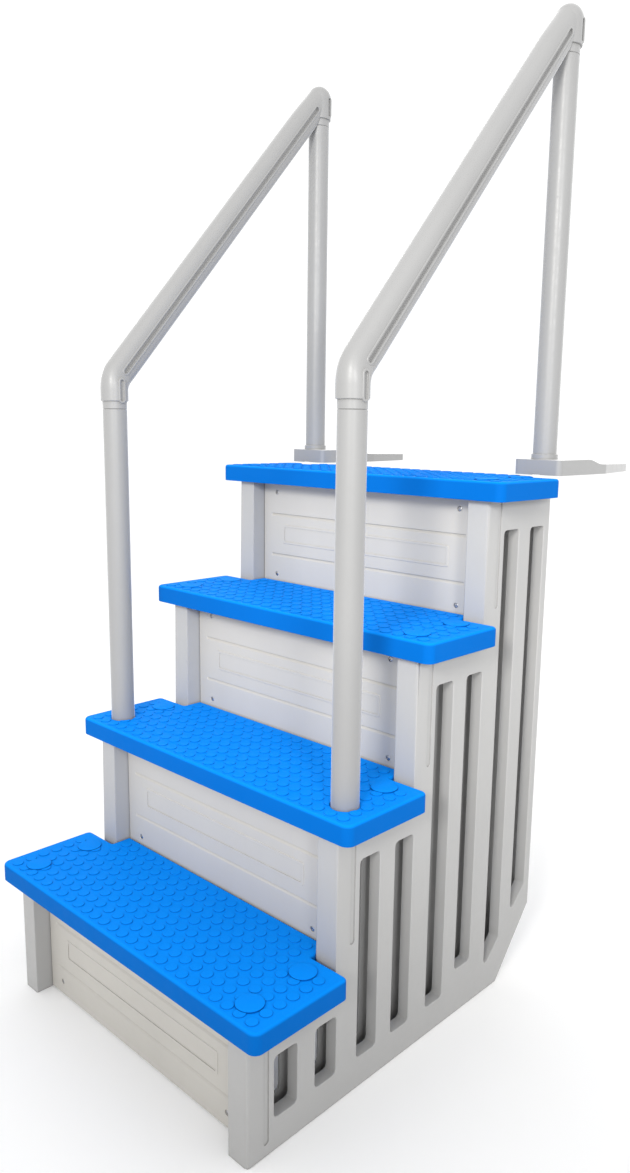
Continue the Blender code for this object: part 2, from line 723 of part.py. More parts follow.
def rail_stations():
    """Round sleeve, lower bend, then the sloping bar up to the upper bend."""
    half_x, half_n = RAIL_WIDTH / 2, RAIL_HEIGHT / 2
    upright = math.radians(90)
    reach = LOW_BEND_RADIUS * math.tan((upright - RAIL_SLOPE) / 2)
    yield (FRONT_AXIS_Y, LOW_SLEEVE_Z, upright, SLEEVE_RADIUS, SLEEVE_RADIUS, 2.0)
    bends = 3
    for k in range(bends + 1):
        share = k / bends
        turn = (upright - RAIL_SLOPE) * share
        y = FRONT_AXIS_Y + LOW_BEND_RADIUS * (1 - math.cos(turn))
        z = LOW_BEND_Z - reach + LOW_BEND_RADIUS * math.sin(turn)
        yield (y, z, upright - turn, SLEEVE_RADIUS + (half_x - SLEEVE_RADIUS) * share,
               SLEEVE_RADIUS + (half_n - SLEEVE_RADIUS) * share, 2.0 + 0.4 * share)
    yield (*rail_point(0.09), RAIL_SLOPE, half_x, half_n, 2.5)
    yield (*rail_point(RAIL_LENGTH - 0.10), RAIL_SLOPE, half_x, half_n, 2.5)
    yield (*rail_point(RAIL_LENGTH - 0.045), RAIL_SLOPE, half_x + 0.002, half_n - 0.001, 2.4)
    yield (*rail_point(RAIL_LENGTH), RAIL_SLOPE, SLEEVE_RADIUS - 0.003, SLEEVE_RADIUS, 2.2)


def rail_bore():
    """The hollow along the sloping bar, open at the lower spigot."""
    curve = bpy.data.curves.new("bore", "CURVE")
    curve.dimensions = "3D"
    curve.bevel_depth = RAIL_BORE
    curve.bevel_resolution = 2
    curve.use_fill_caps = True
    path = [(FRONT_AXIS_Y, LOW_NECK_Z - SPIGOT - CLEAR), (FRONT_AXIS_Y, LOW_BEND_Z - 0.03),
            (FRONT_AXIS_Y + 0.006, LOW_BEND_Z), rail_point(0.035), rail_point(RAIL_LENGTH - 0.06)]
    spline = curve.splines.new("POLY")
    spline.points.add(len(path) - 1)
    for point, (y, z) in zip(spline.points, path):
        point.co = (RAIL_X, y, z, 1)
    return mesh_of(add_object("bore", curve, CUTTERS))


def join_upper_elbow(rail):
    """Round nose over the rear post, with a flat web in the acute corner."""
    axis = (RAIL_X, REAR_AXIS_Y, 0)
    bm = bmesh.new()
    turn = Matrix.Rotation(math.radians(9), 4, "Z")
    bmesh.ops.create_uvsphere(bm, u_segments=20, v_segments=10, radius=SLEEVE_RADIUS + 0.0002,
                              matrix=Matrix.Translation((RAIL_X, REAR_AXIS_Y, HIGH_BEND_Z)) @ turn)
    nose = bpy.data.meshes.new("nose")
    bm.to_mesh(nose)
    bm.free()
    join(rail, cylinder(SLEEVE_RADIUS, HIGH_SLEEVE_Z, HIGH_BEND_Z, 20, axis), nose)
    foot = HIGH_SLEEVE_Z + 0.001
    web = [(REAR_AXIS_Y, HIGH_BEND_Z - 0.008), rail_point(RAIL_LENGTH - 0.085),
           (REAR_AXIS_Y - 0.020, foot), (REAR_AXIS_Y, foot)]
    join(rail, prism([web], "x", RAIL_X - 0.0215, RAIL_X + 0.0217))
    cut(rail, cylinder(REAR_POST_RADIUS + GAP, HIGH_NECK_Z - 0.08, HIGH_NECK_Z + 10 * WELD, 24, axis))


def cut_rail_grooves(rail):
    """Long and short recessed grooves, the same on both side faces."""
    low, high = rail_point(0.045), rail_point(RAIL_LENGTH - 0.045)
    rear_y = REAR_AXIS_Y + 0.008
    for start, end, width, floor in (
            (low, high, 0.009, RAIL_WIDTH / 2 - 0.0035),
            ((FRONT_AXIS_Y, LOW_SLEEVE_Z + 0.008), (FRONT_AXIS_Y, LOW_BEND_Z - 0.004), 0.008,
             SLEEVE_RADIUS - 0.0035),
            ((rear_y, HIGH_SLEEVE_Z + 0.010), (rear_y, HIGH_BEND_Z - 0.004), 0.007,
             SLEEVE_RADIUS - 0.0060)):
        outline = round_ended(start, end, width)
        cut(rail, prism([outline], "x", RAIL_X + floor, RAIL_X + 0.05))
        cut(rail, prism([outline], "x", RAIL_X - 0.05, RAIL_X - floor))


def top_rail():
    rail = add_object("top_rail", loft(list(rail_stations())))
    join_upper_elbow(rail)
    for axis_y, sleeve_z, neck_z, post_radius in (
            (FRONT_AXIS_Y, LOW_SLEEVE_Z, LOW_NECK_Z, FRONT_POST_RADIUS),
            (REAR_AXIS_Y, HIGH_SLEEVE_Z, HIGH_NECK_Z, REAR_POST_RADIUS)):
        spigot = post_radius - POST_WALL - GAP
        profile = [(0, sleeve_z + BITE), (post_radius, sleeve_z + BITE), (post_radius, neck_z),
                   (spigot, neck_z), (spigot, neck_z - SPIGOT), (0, neck_z - SPIGOT)]
        join(rail, turned(profile, 20, (RAIL_X, axis_y, 0)))
    cut(rail, rail_bore())
    bore_foot = HIGH_NECK_Z - SPIGOT - CLEAR
    cut(rail, cylinder(RAIL_BORE - GAP, bore_foot, HIGH_BEND_Z - 0.012, 14, (RAIL_X, REAR_AXIS_Y, 0)))
    cut(rail, rail_screw_hole(FRONT_AXIS_Y, LOW_NECK_Z), rail_screw_hole(REAR_AXIS_Y, HIGH_NECK_Z))
    cut_rail_grooves(rail)
    pair("top_rail", taken(rail), RAIL_PLASTIC, 40.0)


# ---- Deck flanges, modelled round their post's axis at the deck ---------------
def flange_axes():
    """Empties on the rear posts' axes, for what slides and swivels on each post."""
    axes = {}
    for side, side_name in SIDES.items():
        axes[side] = add_object("flange_axis_" + side_name, None)
        axes[side].location = (side * RAIL_X, REAR_AXIS_Y, FLANGE_BOTTOM)
    return axes


def flange_outline():
    """Plan of a flange: square front, tapered tail."""
    wide, tip = FLANGE_HALF_WIDTH, FLANGE_TIP_HALF_WIDTH
    right = [(wide, -FLANGE_FRONT), (wide, FLANGE_TAPER), (tip, FLANGE_REACH)]
    left = [(-x, y) for x, y in reversed(right)]
    radii = [0.012, 0.030, 0.010]
    return rounded(right + left, radii + radii[::-1], 4)


def flange_side():
    """Side view of a flange: a thick block at the post, then a falling tail."""
    start, end = FLANGE_FALL
    fall = FLANGE_BLOCK - FLANGE_TIP - 0.004
    front, rear = -2 * FLANGE_FRONT, FLANGE_REACH + CLEAR
    points = [(front, -CLEAR), (rear, -CLEAR), (rear, FLANGE_TIP)]
    falls = 6
    for k in range(falls, -1, -1):
        share = k / falls
        ease = (1 - math.cos(math.pi * share)) / 2
        points.append((start + (end - start) * share, FLANGE_BLOCK - fall * ease))
    points.append((front, FLANGE_BLOCK))
    return points


def deck_flange(axes):
    flange = add_object("deck_flange", prism([flange_outline()], "z", 0, FLANGE_BLOCK + CLEAR))
    boolean(flange, prism([flange_side()], "x", -0.1, 0.1), "INTERSECT")
    centre = (0, 0, 0)
    cut(flange, cylinder(COLLAR_RADIUS + GAP, -CLEAR, FLANGE_BLOCK + CLEAR, 24, centre))
    cut(flange, cylinder(COLLAR_LIP + GAP, -CLEAR, COLLAR_LIP_HEIGHT + GAP, 24, centre))
    for reach in DECK_SCREWS:
        cut(flange, cylinder(0.0035, -CLEAR, FLANGE_BLOCK, 12, (0, reach, 0)))
        cut(flange, cylinder(0.0070, 0.010, FLANGE_BLOCK, 16, (0, reach, 0)))
    pair("deck_flange", taken(flange), BODY_PLASTIC, 30.0, axes)


def flange_collar(axes):
    """Sleeve that clamps on the rear post and carries the flange on its lip."""
    inner = REAR_POST_RADIUS + GAP
    foot = 0.0008
    profile = [(COLLAR_RADIUS, COLLAR_HEIGHT), (COLLAR_RADIUS, COLLAR_LIP_HEIGHT),
               (COLLAR_LIP, COLLAR_LIP_HEIGHT), (COLLAR_LIP, foot), (inner, foot), (inner, COLLAR_HEIGHT)]
    collar = add_object("flange_collar", turned(profile, 24))
    screw_z = COLLAR_HEIGHT - COLLAR_SCREW_DROP
    cut(collar, cylinder(0.0023, 0.015, 0.045, 8, (0, 0, screw_z), TO_REAR))
    pair("flange_collar", taken(collar), RAIL_PLASTIC, parents=axes)

    seat = COLLAR_RADIUS + GAP
    stem = seat - REAR_POST_RADIUS - 2 * GAP
    mesh = headed_pin((0.0036, 0), (0.0030, 0.0056), (0.0020, stem), 10)
    for side, side_name in SIDES.items():
        where = (0, seat, screw_z)
        place("collar_screw_" + side_name, mesh, SCREW_STEEL, where, TO_REAR, parent=axes[side])


# ---- The ladder -------------------------------------------------------------
side_panel()
for number in range(1, STEPS + 1):
    tread(number)
    riser_panel(number)
tread_bolts()
riser_screws()
front_post()
rear_post()
post_bolts()
top_rail()
rail_screws()
AXES_OF_FLANGES = flange_axes()
deck_flange(AXES_OF_FLANGES)
flange_collar(AXES_OF_FLANGES)
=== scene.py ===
import math

import bmesh
import bpy
from mathutils import Matrix, Vector

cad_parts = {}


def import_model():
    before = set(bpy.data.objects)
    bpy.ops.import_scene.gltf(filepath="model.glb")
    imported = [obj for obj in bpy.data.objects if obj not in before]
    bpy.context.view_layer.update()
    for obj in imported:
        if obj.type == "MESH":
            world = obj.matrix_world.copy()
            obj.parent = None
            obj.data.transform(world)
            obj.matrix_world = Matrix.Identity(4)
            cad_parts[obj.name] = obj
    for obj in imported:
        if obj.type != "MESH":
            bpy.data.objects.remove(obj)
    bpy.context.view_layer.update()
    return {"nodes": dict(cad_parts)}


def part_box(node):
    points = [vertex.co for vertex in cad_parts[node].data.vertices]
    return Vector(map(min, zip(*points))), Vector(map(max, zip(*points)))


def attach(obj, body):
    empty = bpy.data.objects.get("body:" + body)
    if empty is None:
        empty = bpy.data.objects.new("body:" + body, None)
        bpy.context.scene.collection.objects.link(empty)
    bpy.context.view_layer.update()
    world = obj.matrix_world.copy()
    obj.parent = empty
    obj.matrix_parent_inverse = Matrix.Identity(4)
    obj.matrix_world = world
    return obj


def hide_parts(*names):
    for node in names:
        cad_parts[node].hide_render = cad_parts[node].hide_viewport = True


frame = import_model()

# ---- Places and sizes, in metres, read from the frame where it holds them ----
STEPS = 4
SIDES = {1: "right", -1: "left"}
GAP = 0.0003                 # clearance between neighbouring pieces

TREAD_BOXES = {step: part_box("tread_%d" % step) for step in range(1, STEPS + 1)}
TREAD_HALF = TREAD_BOXES[1][1].x
TREAD_THICKNESS = TREAD_BOXES[1][1].z - TREAD_BOXES[1][0].z
TREAD_FULL_DEPTH = TREAD_BOXES[1][1].y - TREAD_BOXES[1][0].y
TREAD_EAR_DEPTH = 0.2155
TREAD_CORNER = 0.018
EAR_CORNER = 0.012
NOTCH_CORNER = 0.004
TREAD_EDGE = 0.006
TREAD_LOWER_EDGE = 0.0010
TREAD_SKIN = 0.005
TREAD_COLUMNS = 4
CELL_CORNER = 0.0035
CELL_TO_PANEL = 0.002        # a cell beside a panel keeps this far from its faces
BOLT_CELL = (0.096, 0.150)   # the cell over a panel, between its two bolts

PANEL_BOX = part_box("side_panel_right")
OUTER_X = PANEL_BOX[1].x
PANEL_WIDTH = 0.049
INNER_X = OUTER_X - PANEL_WIDTH
NOTCH_GAP = 0.0012           # between a tread's notch and the panel beside it
NOTCH_X = INNER_X - NOTCH_GAP
POST_SETBACK = 0.021         # tread front to the front of a side panel's post
POST_GROOVE = (0.057, 0.069)    # shallow upright groove, behind the tread's front
PANEL_RIM = 0.0024
POST_GROOVE_RIM = 0.0008
POST_INNER_RIM = 0.0020

BOLT_X = 0.338
BOLT_DEPTHS = (0.0505, 0.172)   # behind the tread's front edge
BOLT_STEM = 0.0055
CAP_RADIUS = 0.0250
CAP_CROWN_RADIUS = 0.0222
CAP_CROWN = 0.0006           # how far the cap's middle stands above its rim
CAP_RIM = 0.0012
CAP_HEIGHT = 0.0033
CAP_SEAT_MARGIN = 0.0008     # bare ring between a cap and the cut dots round it
BOLT_END = -0.0623           # the stem's tip, below the tread's top

FRONT_POST_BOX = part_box("front_post_right")
REAR_POST_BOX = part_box("rear_post_right")
FRONT_POST_RADIUS = 0.0253
FRONT_POST_FOOT_RADIUS = 0.0145
REAR_POST_RADIUS = 0.0248
POST_WALL = 0.003
POST_CHAMFER = 0.0009
POST_HOLE_CHAMFER = 0.0012
POST_SEAT_MARGIN = 0.0025
RAIL_X = (REAR_POST_BOX[0].x + REAR_POST_BOX[1].x) / 2
FRONT_AXIS_Y = (FRONT_POST_BOX[0].y + FRONT_POST_BOX[1].y) / 2
REAR_AXIS_Y = (REAR_POST_BOX[0].y + REAR_POST_BOX[1].y) / 2
LOW_NECK_Z = FRONT_POST_BOX[1].z + GAP
HIGH_NECK_Z = REAR_POST_BOX[1].z + GAP

NECK = 0.016
SPIGOT = 0.055
SLEEVE_RADIUS = 0.0288
RAIL_SLOPE = math.radians(49.0)
RAIL_HALF_WIDTH = 0.024
RAIL_HALF_HEIGHT = 0.0315
LOW_BEND_RADIUS = 0.060
LOW_SLEEVE_Z = LOW_NECK_Z + NECK
HIGH_SLEEVE_Z = HIGH_NECK_Z + NECK
LOW_BEND_Z = LOW_SLEEVE_Z + 0.045     # where the bar's line crosses each post's axis
HIGH_BEND_Z = HIGH_SLEEVE_Z + 0.048
SLEEVE_RIM = 0.0015
BAR_POWER = 2.5              # squareness of the bar's section; 2 is an ellipse
BAR_END = 0.10               # length over which the bar narrows into the upper elbow
WEB_REACH = 0.085
WEB_HALF = 0.0215
WEB_EDGE = 0.0015
RAIL_LENGTH = (REAR_AXIS_Y - FRONT_AXIS_Y) / math.cos(RAIL_SLOPE)

FLANGE_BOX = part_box("deck_flange_right")
FLANGE_BOTTOM = FLANGE_BOX[0].z
FLANGE_RIM = 0.0030
COLLAR_RADIUS = 0.0276
COLLAR_HEIGHT = 0.043
COLLAR_LIP = 0.0310
COLLAR_LIP_HEIGHT = 0.004
COLLAR_RIM = 0.0012
COLLAR_FOOT = 0.0008         # its seat on the flange, above the flange's underside

DOT_PITCH_X = 0.030
DOT_PITCH_Y = 0.0301
DOT_COLUMNS = 13             # at each side of the middle
DOT_ROWS = 8
DOT_EAR_ROWS = 6
DOT_FIRST_ROW = 0.0222       # behind the tread's front edge
DOT_RADIUS = 0.0109
DOT_HEIGHT = 0.0017
DOT_RIM = 0.0009
DOT_FLARE = 0.0004           # how far its foot spreads past its radius
DOT_ROOT = 0.0019            # how far a dot reaches into its tread

RISER_SETBACK = 0.057        # tread front to the riser's front face
RISER_THICKNESS = 0.006
RISER_EDGE = 0.0006
RIB_HALF = 0.2285            # stiffener behind a groove
RIB_BELOW, RIB_ABOVE = 0.012, 0.006
RIB_EDGE = 0.001
RISER_GROOVES = (0.066, 0.164)   # above the tread below
GROOVE_HALF = 0.2885
FIELD_HALF = 0.247
FIELD_MARGIN = 0.026
FIELD_HEIGHT = 0.0012
FIELD_BEAD = 0.0050          # width of the raised bead round the field
FIELD_SLOPE = 0.0010
FIELD_CORNER = 0.004
RISER_SCREW_X = 0.270
RISER_SCREWS = (0.015, 0.215)
FIRST_SCREW = 0.031


def tread_front(step):
    return TREAD_BOXES[step][0].y


def tread_top(step):
    return step * TREAD_BOXES[1][1].z


def bolt_places(step):
    """Where the tread is bolted down; the handrails take two of the places."""
    for side in SIDES:
        for depth in BOLT_DEPTHS:
            if step != 2 or depth != BOLT_DEPTHS[0]:
                yield side, side * BOLT_X, tread_front(step) + depth


# ---- Mesh tools --------------------------------------------------------------
WELD = 1e-5
CLEAR = 0.01                 # how far a cutter runs past what it cuts
FLAT = 0.2                   # faces within this angle, in degrees, count as level
SHARP = math.radians(28)
SMALL_HOLE = 8               # sides of the largest hole that is closed again
TO_FRONT = Matrix.Rotation(math.radians(90), 4, "X")
TO_REAR = Matrix.Rotation(math.radians(-90), 4, "X")
UPRIGHT = Matrix.Identity(4)


def new_mesh(bm, name="mesh"):
    mesh = bpy.data.meshes.new(name)
    bm.to_mesh(mesh)
    bm.free()
    return mesh


def link(name, data):
    obj = bpy.data.objects.new(name, data)
    bpy.context.scene.collection.objects.link(obj)
    return obj


def cleaned(mesh, flat=FLAT):
    """Weld close points, merge level faces, close small holes and point every face outward."""
    bm = bmesh.new()
    bm.from_mesh(mesh)
    bmesh.ops.remove_doubles(bm, verts=bm.verts, dist=WELD)
    bmesh.ops.dissolve_degenerate(bm, edges=bm.edges, dist=WELD)
    if flat:
        bmesh.ops.dissolve_limit(bm, angle_limit=math.radians(flat), verts=bm.verts, edges=bm.edges)
    bmesh.ops.holes_fill(bm, edges=[e for e in bm.edges if e.is_boundary],
                         sides=SMALL_HOLE)
    bmesh.ops.recalc_face_normals(bm, faces=bm.faces)
    bm.to_mesh(mesh)
    bm.free()
    return mesh


def taken(obj):
    mesh = obj.data
    bpy.data.objects.remove(obj, do_unlink=True)
    return mesh


def loft(rings):
    """A skin through rings of the same number of points, capped at both ends."""
    bm = bmesh.new()
    verts = [[bm.verts.new(point) for point in ring] for ring in rings]
    count = len(rings[0])
    for one, other in zip(verts, verts[1:]):
        for k in range(count):
            bm.faces.new((one[k], one[(k + 1) % count], other[(k + 1) % count], other[k]))
    bm.faces.new(verts[0])
    bm.faces.new(verts[-1])
    bmesh.ops.recalc_face_normals(bm, faces=bm.faces)
    return new_mesh(bm)


def turned(profile, steps, centre=(0, 0, 0), turn=UPRIGHT):
    """A profile of (radius, height) turned round its own z; on the axis it closes to a point."""
    place = Matrix.Translation(centre) @ turn
    bm = bmesh.new()
    rings = []
    for radius, z in profile:
        if radius == 0:
            rings.append([bm.verts.new(place @ Vector((0, 0, z)))] * steps)
            continue
        angles = [2 * math.pi * k / steps for k in range(steps)]
        rings.append([bm.verts.new(place @ Vector((radius * math.cos(a), radius * math.sin(a), z)))
                      for a in angles])
    pairs = list(zip(rings, rings[1:]))
    if profile[0][0] > 0:
        pairs.append((rings[-1], rings[0]))
    for one, other in pairs:
        for k in range(steps):
            corners = (one[k], one[(k + 1) % steps], other[(k + 1) % steps], other[k])
            bm.faces.new(list(dict.fromkeys(corners)))
    bmesh.ops.recalc_face_normals(bm, faces=bm.faces)
    return new_mesh(bm)


def cylinder(radius, low, high, steps, centre, turn=UPRIGHT):
    return turned([(0, high), (radius, high), (radius, low), (0, low)], steps, centre, turn)


def arc(centre, radius, start, end, count):
    """Points (u, v) along an arc, angles in degrees."""
    for k in range(count + 1):
        angle = math.radians(start + (end - start) * k / count)
        yield centre[0] + radius * math.cos(angle), centre[1] + radius * math.sin(angle)


def rounded(points, radii, segments=6):
    """A closed outline with each corner replaced by an arc of its radius."""
    result = []
    for i, radius in enumerate(radii):
        corner = Vector(points[i])
        before = (Vector(points[i - 1]) - corner).normalized()
        after = (Vector(points[(i + 1) % len(points)]) - corner).normalized()
        half = before.angle(after) / 2
        centre = corner + (before + after).normalized() * radius / math.sin(half)
        start = corner + before * radius / math.tan(half) - centre
        end = corner + after * radius / math.tan(half) - centre
        sweep = math.copysign(math.pi - 2 * half, start.x * end.y - start.y * end.x)
        for k in range(segments + 1):
            result.append(tuple(centre + Matrix.Rotation(sweep * k / segments, 2) @ start))
    return result


def rectangle(low, high, radius, segments=4):
    corners = [low, (high[0], low[1]), high, (low[0], high[1])]
    return rounded(corners, [radius] * 4, segments)


def round_ended(start, end, width, segments=10):
    """A slot of this width with round ends, between two points."""
    along = Vector(end) - Vector(start)
    angle = math.degrees(math.atan2(along.y, along.x))
    outline = list(arc(end, width / 2, angle - 90, angle + 90, segments))
    return outline + list(arc(start, width / 2, angle + 90, angle + 270, segments))


def upright_prism(outline, low, high):
    return loft([[(x, y, low) for x, y in outline], [(x, y, high) for x, y in outline]])


def joined(meshes):
    bm = bmesh.new()
    for mesh in meshes:
        bm.from_mesh(mesh)
    return new_mesh(bm)


def boolean(obj, mesh, operation, flat=FLAT):
    cutter = link("cutter", mesh)
    step = obj.modifiers.new(operation, "BOOLEAN")
    step.operation = operation
    step.solver = "EXACT"
    step.object = cutter
    bpy.context.view_layer.update()
    graph = bpy.context.evaluated_depsgraph_get()
    result = bpy.data.meshes.new_from_object(obj.evaluated_get(graph))
    obj.modifiers.clear()
    obj.data = cleaned(result, flat)
    bpy.data.objects.remove(cutter, do_unlink=True)


def cut(obj, *meshes):
    for mesh in meshes:
        boolean(obj, mesh, "DIFFERENCE")


def join(obj, *meshes):
    for mesh in meshes:
        boolean(obj, mesh, "UNION")


def mirrored(mesh):
    copy = mesh.copy()
    copy.transform(Matrix.Scale(-1, 4, (1, 0, 0)))
    copy.flip_normals()
    return copy


def softened(node, rules):
    """A copy of a CAD node's shape with some of its sharp edges rounded.

    A rule is (radius, segments, test of an edge's two ends).
    """
    mesh = cleaned(frame["nodes"][node].data.copy())
    mesh.materials.clear()
    for radius, segments, wanted in rules:
        bm = bmesh.new()
        bm.from_mesh(mesh)
        edges = [e for e in bm.edges if len(e.link_faces) == 2 and e.calc_face_angle(0) > SHARP
                 and wanted(e.verts[0].co, e.verts[1].co)]
        bmesh.ops.bevel(bm, geom=edges, offset=radius, segments=segments, profile=0.5,
                        affect="EDGES", clamp_overlap=True, loop_slide=False)
        bm.to_mesh(mesh)
        bm.free()
    if "custom_normal" in mesh.attributes:
        mesh.attributes.remove(mesh.attributes["custom_normal"])
    return mesh


def refilled(mesh, x):
    """The flat face at this x filled afresh round its holes, without long thin slivers."""
    bm = bmesh.new()
    bm.from_mesh(mesh)
    level = [f for f in bm.faces if all(abs(v.co.x - x) < WELD for v in f.verts)]
    facing = level[0].normal.copy()
    bmesh.ops.delete(bm, geom=level, context="FACES_ONLY")
    bmesh.ops.delete(bm, geom=[e for e in bm.edges if e.is_wire], context="EDGES")
    rim = [e for e in bm.edges if e.is_boundary]
    bmesh.ops.triangle_fill(bm, edges=rim, use_beauty=True, normal=facing)
    bmesh.ops.recalc_face_normals(bm, faces=bm.faces)
    bm.to_mesh(mesh)
    bm.free()
    return mesh


# ---- Materials ---------------------------------------------------------------
CREASE_REACH = 0.006         # corners this narrow get painted shade
CREASE_SHARE = 0.80
WORN_REACH = 0.0022          # how far an edge is rubbed
FLOW_SHADE = (0.93, 0.93, 0.93, 1.0)


class Nodes:
    """Short calls for building one material's node tree."""

    def __init__(self, name):
        self.material = bpy.data.materials.new(name)
        self.material.use_nodes = True
        self.tree = self.material.node_tree
        self.shader = self.tree.nodes["Principled BSDF"]
        self.place = self.add("ShaderNodeTexCoord").outputs["Object"]

    def add(self, kind, **settings):
        node = self.tree.nodes.new(kind)
        for name, value in settings.items():
            setattr(node, name, value)
        return node

    def link(self, source, target):
        self.tree.links.new(source, target)

    def noise(self, scale, detail=4.0, roughness=0.55, stretch=None):
        """Noise with this many features a metre, stretched along an axis if asked."""
        node = self.add("ShaderNodeTexNoise")
        node.inputs["Scale"].default_value = scale
        node.inputs["Detail"].default_value = detail
        node.inputs["Roughness"].default_value = roughness
        source = self.place
        if stretch:
            mapping = self.add("ShaderNodeMapping")
            mapping.inputs["Scale"].default_value = stretch
            self.link(source, mapping.inputs["Vector"])
            source = mapping.outputs["Vector"]
        self.link(source, node.inputs["Vector"])
        return node.outputs["Fac"]

    def ranged(self, source, low, high, start=0.3, end=0.7):
        node = self.add("ShaderNodeMapRange")
        for name, value in (("From Min", start), ("From Max", end), ("To Min", low), ("To Max", high)):
            node.inputs[name].default_value = value
        self.link(source, node.inputs["Value"])
        return node.outputs["Result"]

    def maths(self, operation, one, other):
        node = self.add("ShaderNodeMath", operation=operation)
        for socket, value in zip(node.inputs, (one, other)):
            if isinstance(value, (int, float)):
                socket.default_value = value
            else:
                self.link(value, socket)
        return node.outputs["Value"]

    def mix(self, share, one, other, blend="MIX"):
        node = self.add("ShaderNodeMix", data_type="RGBA", blend_type=blend)
        factor, colour_a, colour_b = node.inputs[0], node.inputs[6], node.inputs[7]
        for socket, value in ((factor, share), (colour_a, one), (colour_b, other)):
            if isinstance(value, (int, float, tuple)):
                socket.default_value = value
            else:
                self.link(value, socket)
        return node.outputs[2]

    def near_edges(self, radius):
        """1 within about this distance of a sharp edge, and 0 elsewhere."""
        bevel = self.add("ShaderNodeBevel", samples=4)
        bevel.inputs["Radius"].default_value = radius
        compare = self.add("ShaderNodeVectorMath", operation="DOT_PRODUCT")
        self.link(bevel.outputs["Normal"], compare.inputs[0])
        self.link(self.add("ShaderNodeNewGeometry").outputs["Normal"], compare.inputs[1])
        return self.ranged(compare.outputs["Value"], 1.0, 0.0, 0.90, 0.995)

    def creases(self, reach):
        """1 in corners narrower than this reach, and 0 in the open."""
        shade = self.add("ShaderNodeAmbientOcclusion", samples=6)
        shade.inputs["Distance"].default_value = reach
        return self.ranged(shade.outputs["AO"], 1.0, 0.0, 0.45, 0.95)

    def facing_up(self):
        """1 on faces that look up, 0 on upright ones."""
        split = self.add("ShaderNodeSeparateXYZ")
        self.link(self.add("ShaderNodeNewGeometry").outputs["Normal"], split.inputs[0])
        return self.ranged(split.outputs["Z"], 0.0, 1.0, 0.25, 0.95)

    def bump(self, height, distance, strength=1.0, normal=None):
        node = self.add("ShaderNodeBump")
        node.inputs["Strength"].default_value = strength
        node.inputs["Distance"].default_value = distance
        self.link(height, node.inputs["Height"])
        if normal is not None:
            self.link(normal, node.inputs["Normal"])
        return node.outputs["Normal"]


def colour(r, g, b):
    return (r, g, b, 1.0)


def moulded_plastic(name, base, shade, worn, roughness, grain, wear, shine, crease_shade, upright=None, sheen=0.0):
    """Moulded resin: flow marks, a fine grain, painted shade in its corners and rubbed, duller edges.

    The shade colour and the painted corner shade multiply the base colour. With a colour for upright
    faces, the base colour is that of the faces that look up, and the upright faces take the darker colour
    as painted shade.
    """
    n = Nodes(name)
    broad = n.ranged(n.noise(3.2, 3.0), 0.0, 1.0)
    flow = n.ranged(n.noise(14.0, 5.0, stretch=(1.0, 1.0, 0.25)), 0.0, 1.0, 0.35, 0.7)
    # Painted shade: upright faces take a darker colour than the faces that look up.
    body = n.mix(n.facing_up(), upright, base) if upright else base
    body = n.mix(n.maths("MULTIPLY", broad, 0.50), body, shade, "MULTIPLY")
    body = n.mix(n.maths("MULTIPLY", flow, 0.30), body, FLOW_SHADE, "MULTIPLY")
    # Painted shade: corners that ambient occlusion finds are darkened by the crease colour.
    body = n.mix(n.maths("MULTIPLY", n.creases(CREASE_REACH), CREASE_SHARE), body, crease_shade, "MULTIPLY")

    patchy = n.ranged(n.noise(38.0, 6.0, 0.65), 0.0, 1.0, 0.42, 0.62)
    rubbed = n.maths("MULTIPLY", n.maths("MULTIPLY", n.near_edges(WORN_REACH), patchy), wear)
    n.link(n.mix(rubbed, body, worn), n.shader.inputs["Base Color"])

    dull = n.ranged(n.noise(55.0, 5.0, 0.6), roughness - 0.05, roughness + 0.07)
    scratches = n.ranged(n.noise(90.0, 3.0, 0.5, stretch=(0.12, 1.0, 1.0)), 0.0, 0.10, 0.62, 0.72)
    dull = n.maths("ADD", n.maths("ADD", dull, scratches), n.maths("MULTIPLY", rubbed, 0.15))
    n.link(dull, n.shader.inputs["Roughness"])

    wavy = n.bump(n.noise(22.0, 2.0), 0.0006, 0.22)
    fine = n.bump(n.noise(1500.0, 3.0, 0.6), 0.00012, grain, wavy)
    n.link(fine, n.shader.inputs["Normal"])
    n.shader.inputs["Specular IOR Level"].default_value = shine
    n.shader.inputs["Sheen Weight"].default_value = sheen
    n.shader.inputs["Sheen Roughness"].default_value = 0.35
    return n.material


def brushed_steel(name):
    n = Nodes(name)
    streaks = n.noise(900.0, 4.0, 0.6, stretch=(1.0, 0.05, 1.0))
    stained = n.ranged(n.noise(220.0, 5.0), 0.0, 0.6, 0.45, 0.7)
    n.link(n.mix(stained, colour(0.52, 0.52, 0.53), colour(0.30, 0.29, 0.28)),
           n.shader.inputs["Base Color"])
    n.link(n.ranged(streaks, 0.28, 0.46), n.shader.inputs["Roughness"])
    n.link(n.bump(streaks, 0.00006, 0.6), n.shader.inputs["Normal"])
    n.shader.inputs["Metallic"].default_value = 1.0
    return n.material


def plain_floor(name):
    n = Nodes(name)
    n.link(n.mix(n.ranged(n.noise(1.6, 2.0), 0.0, 1.0), colour(0.99, 0.99, 0.99),
                 colour(0.98, 0.98, 0.98)), n.shader.inputs["Base Color"])
    n.shader.inputs["Roughness"].default_value = 0.7
    return n.material
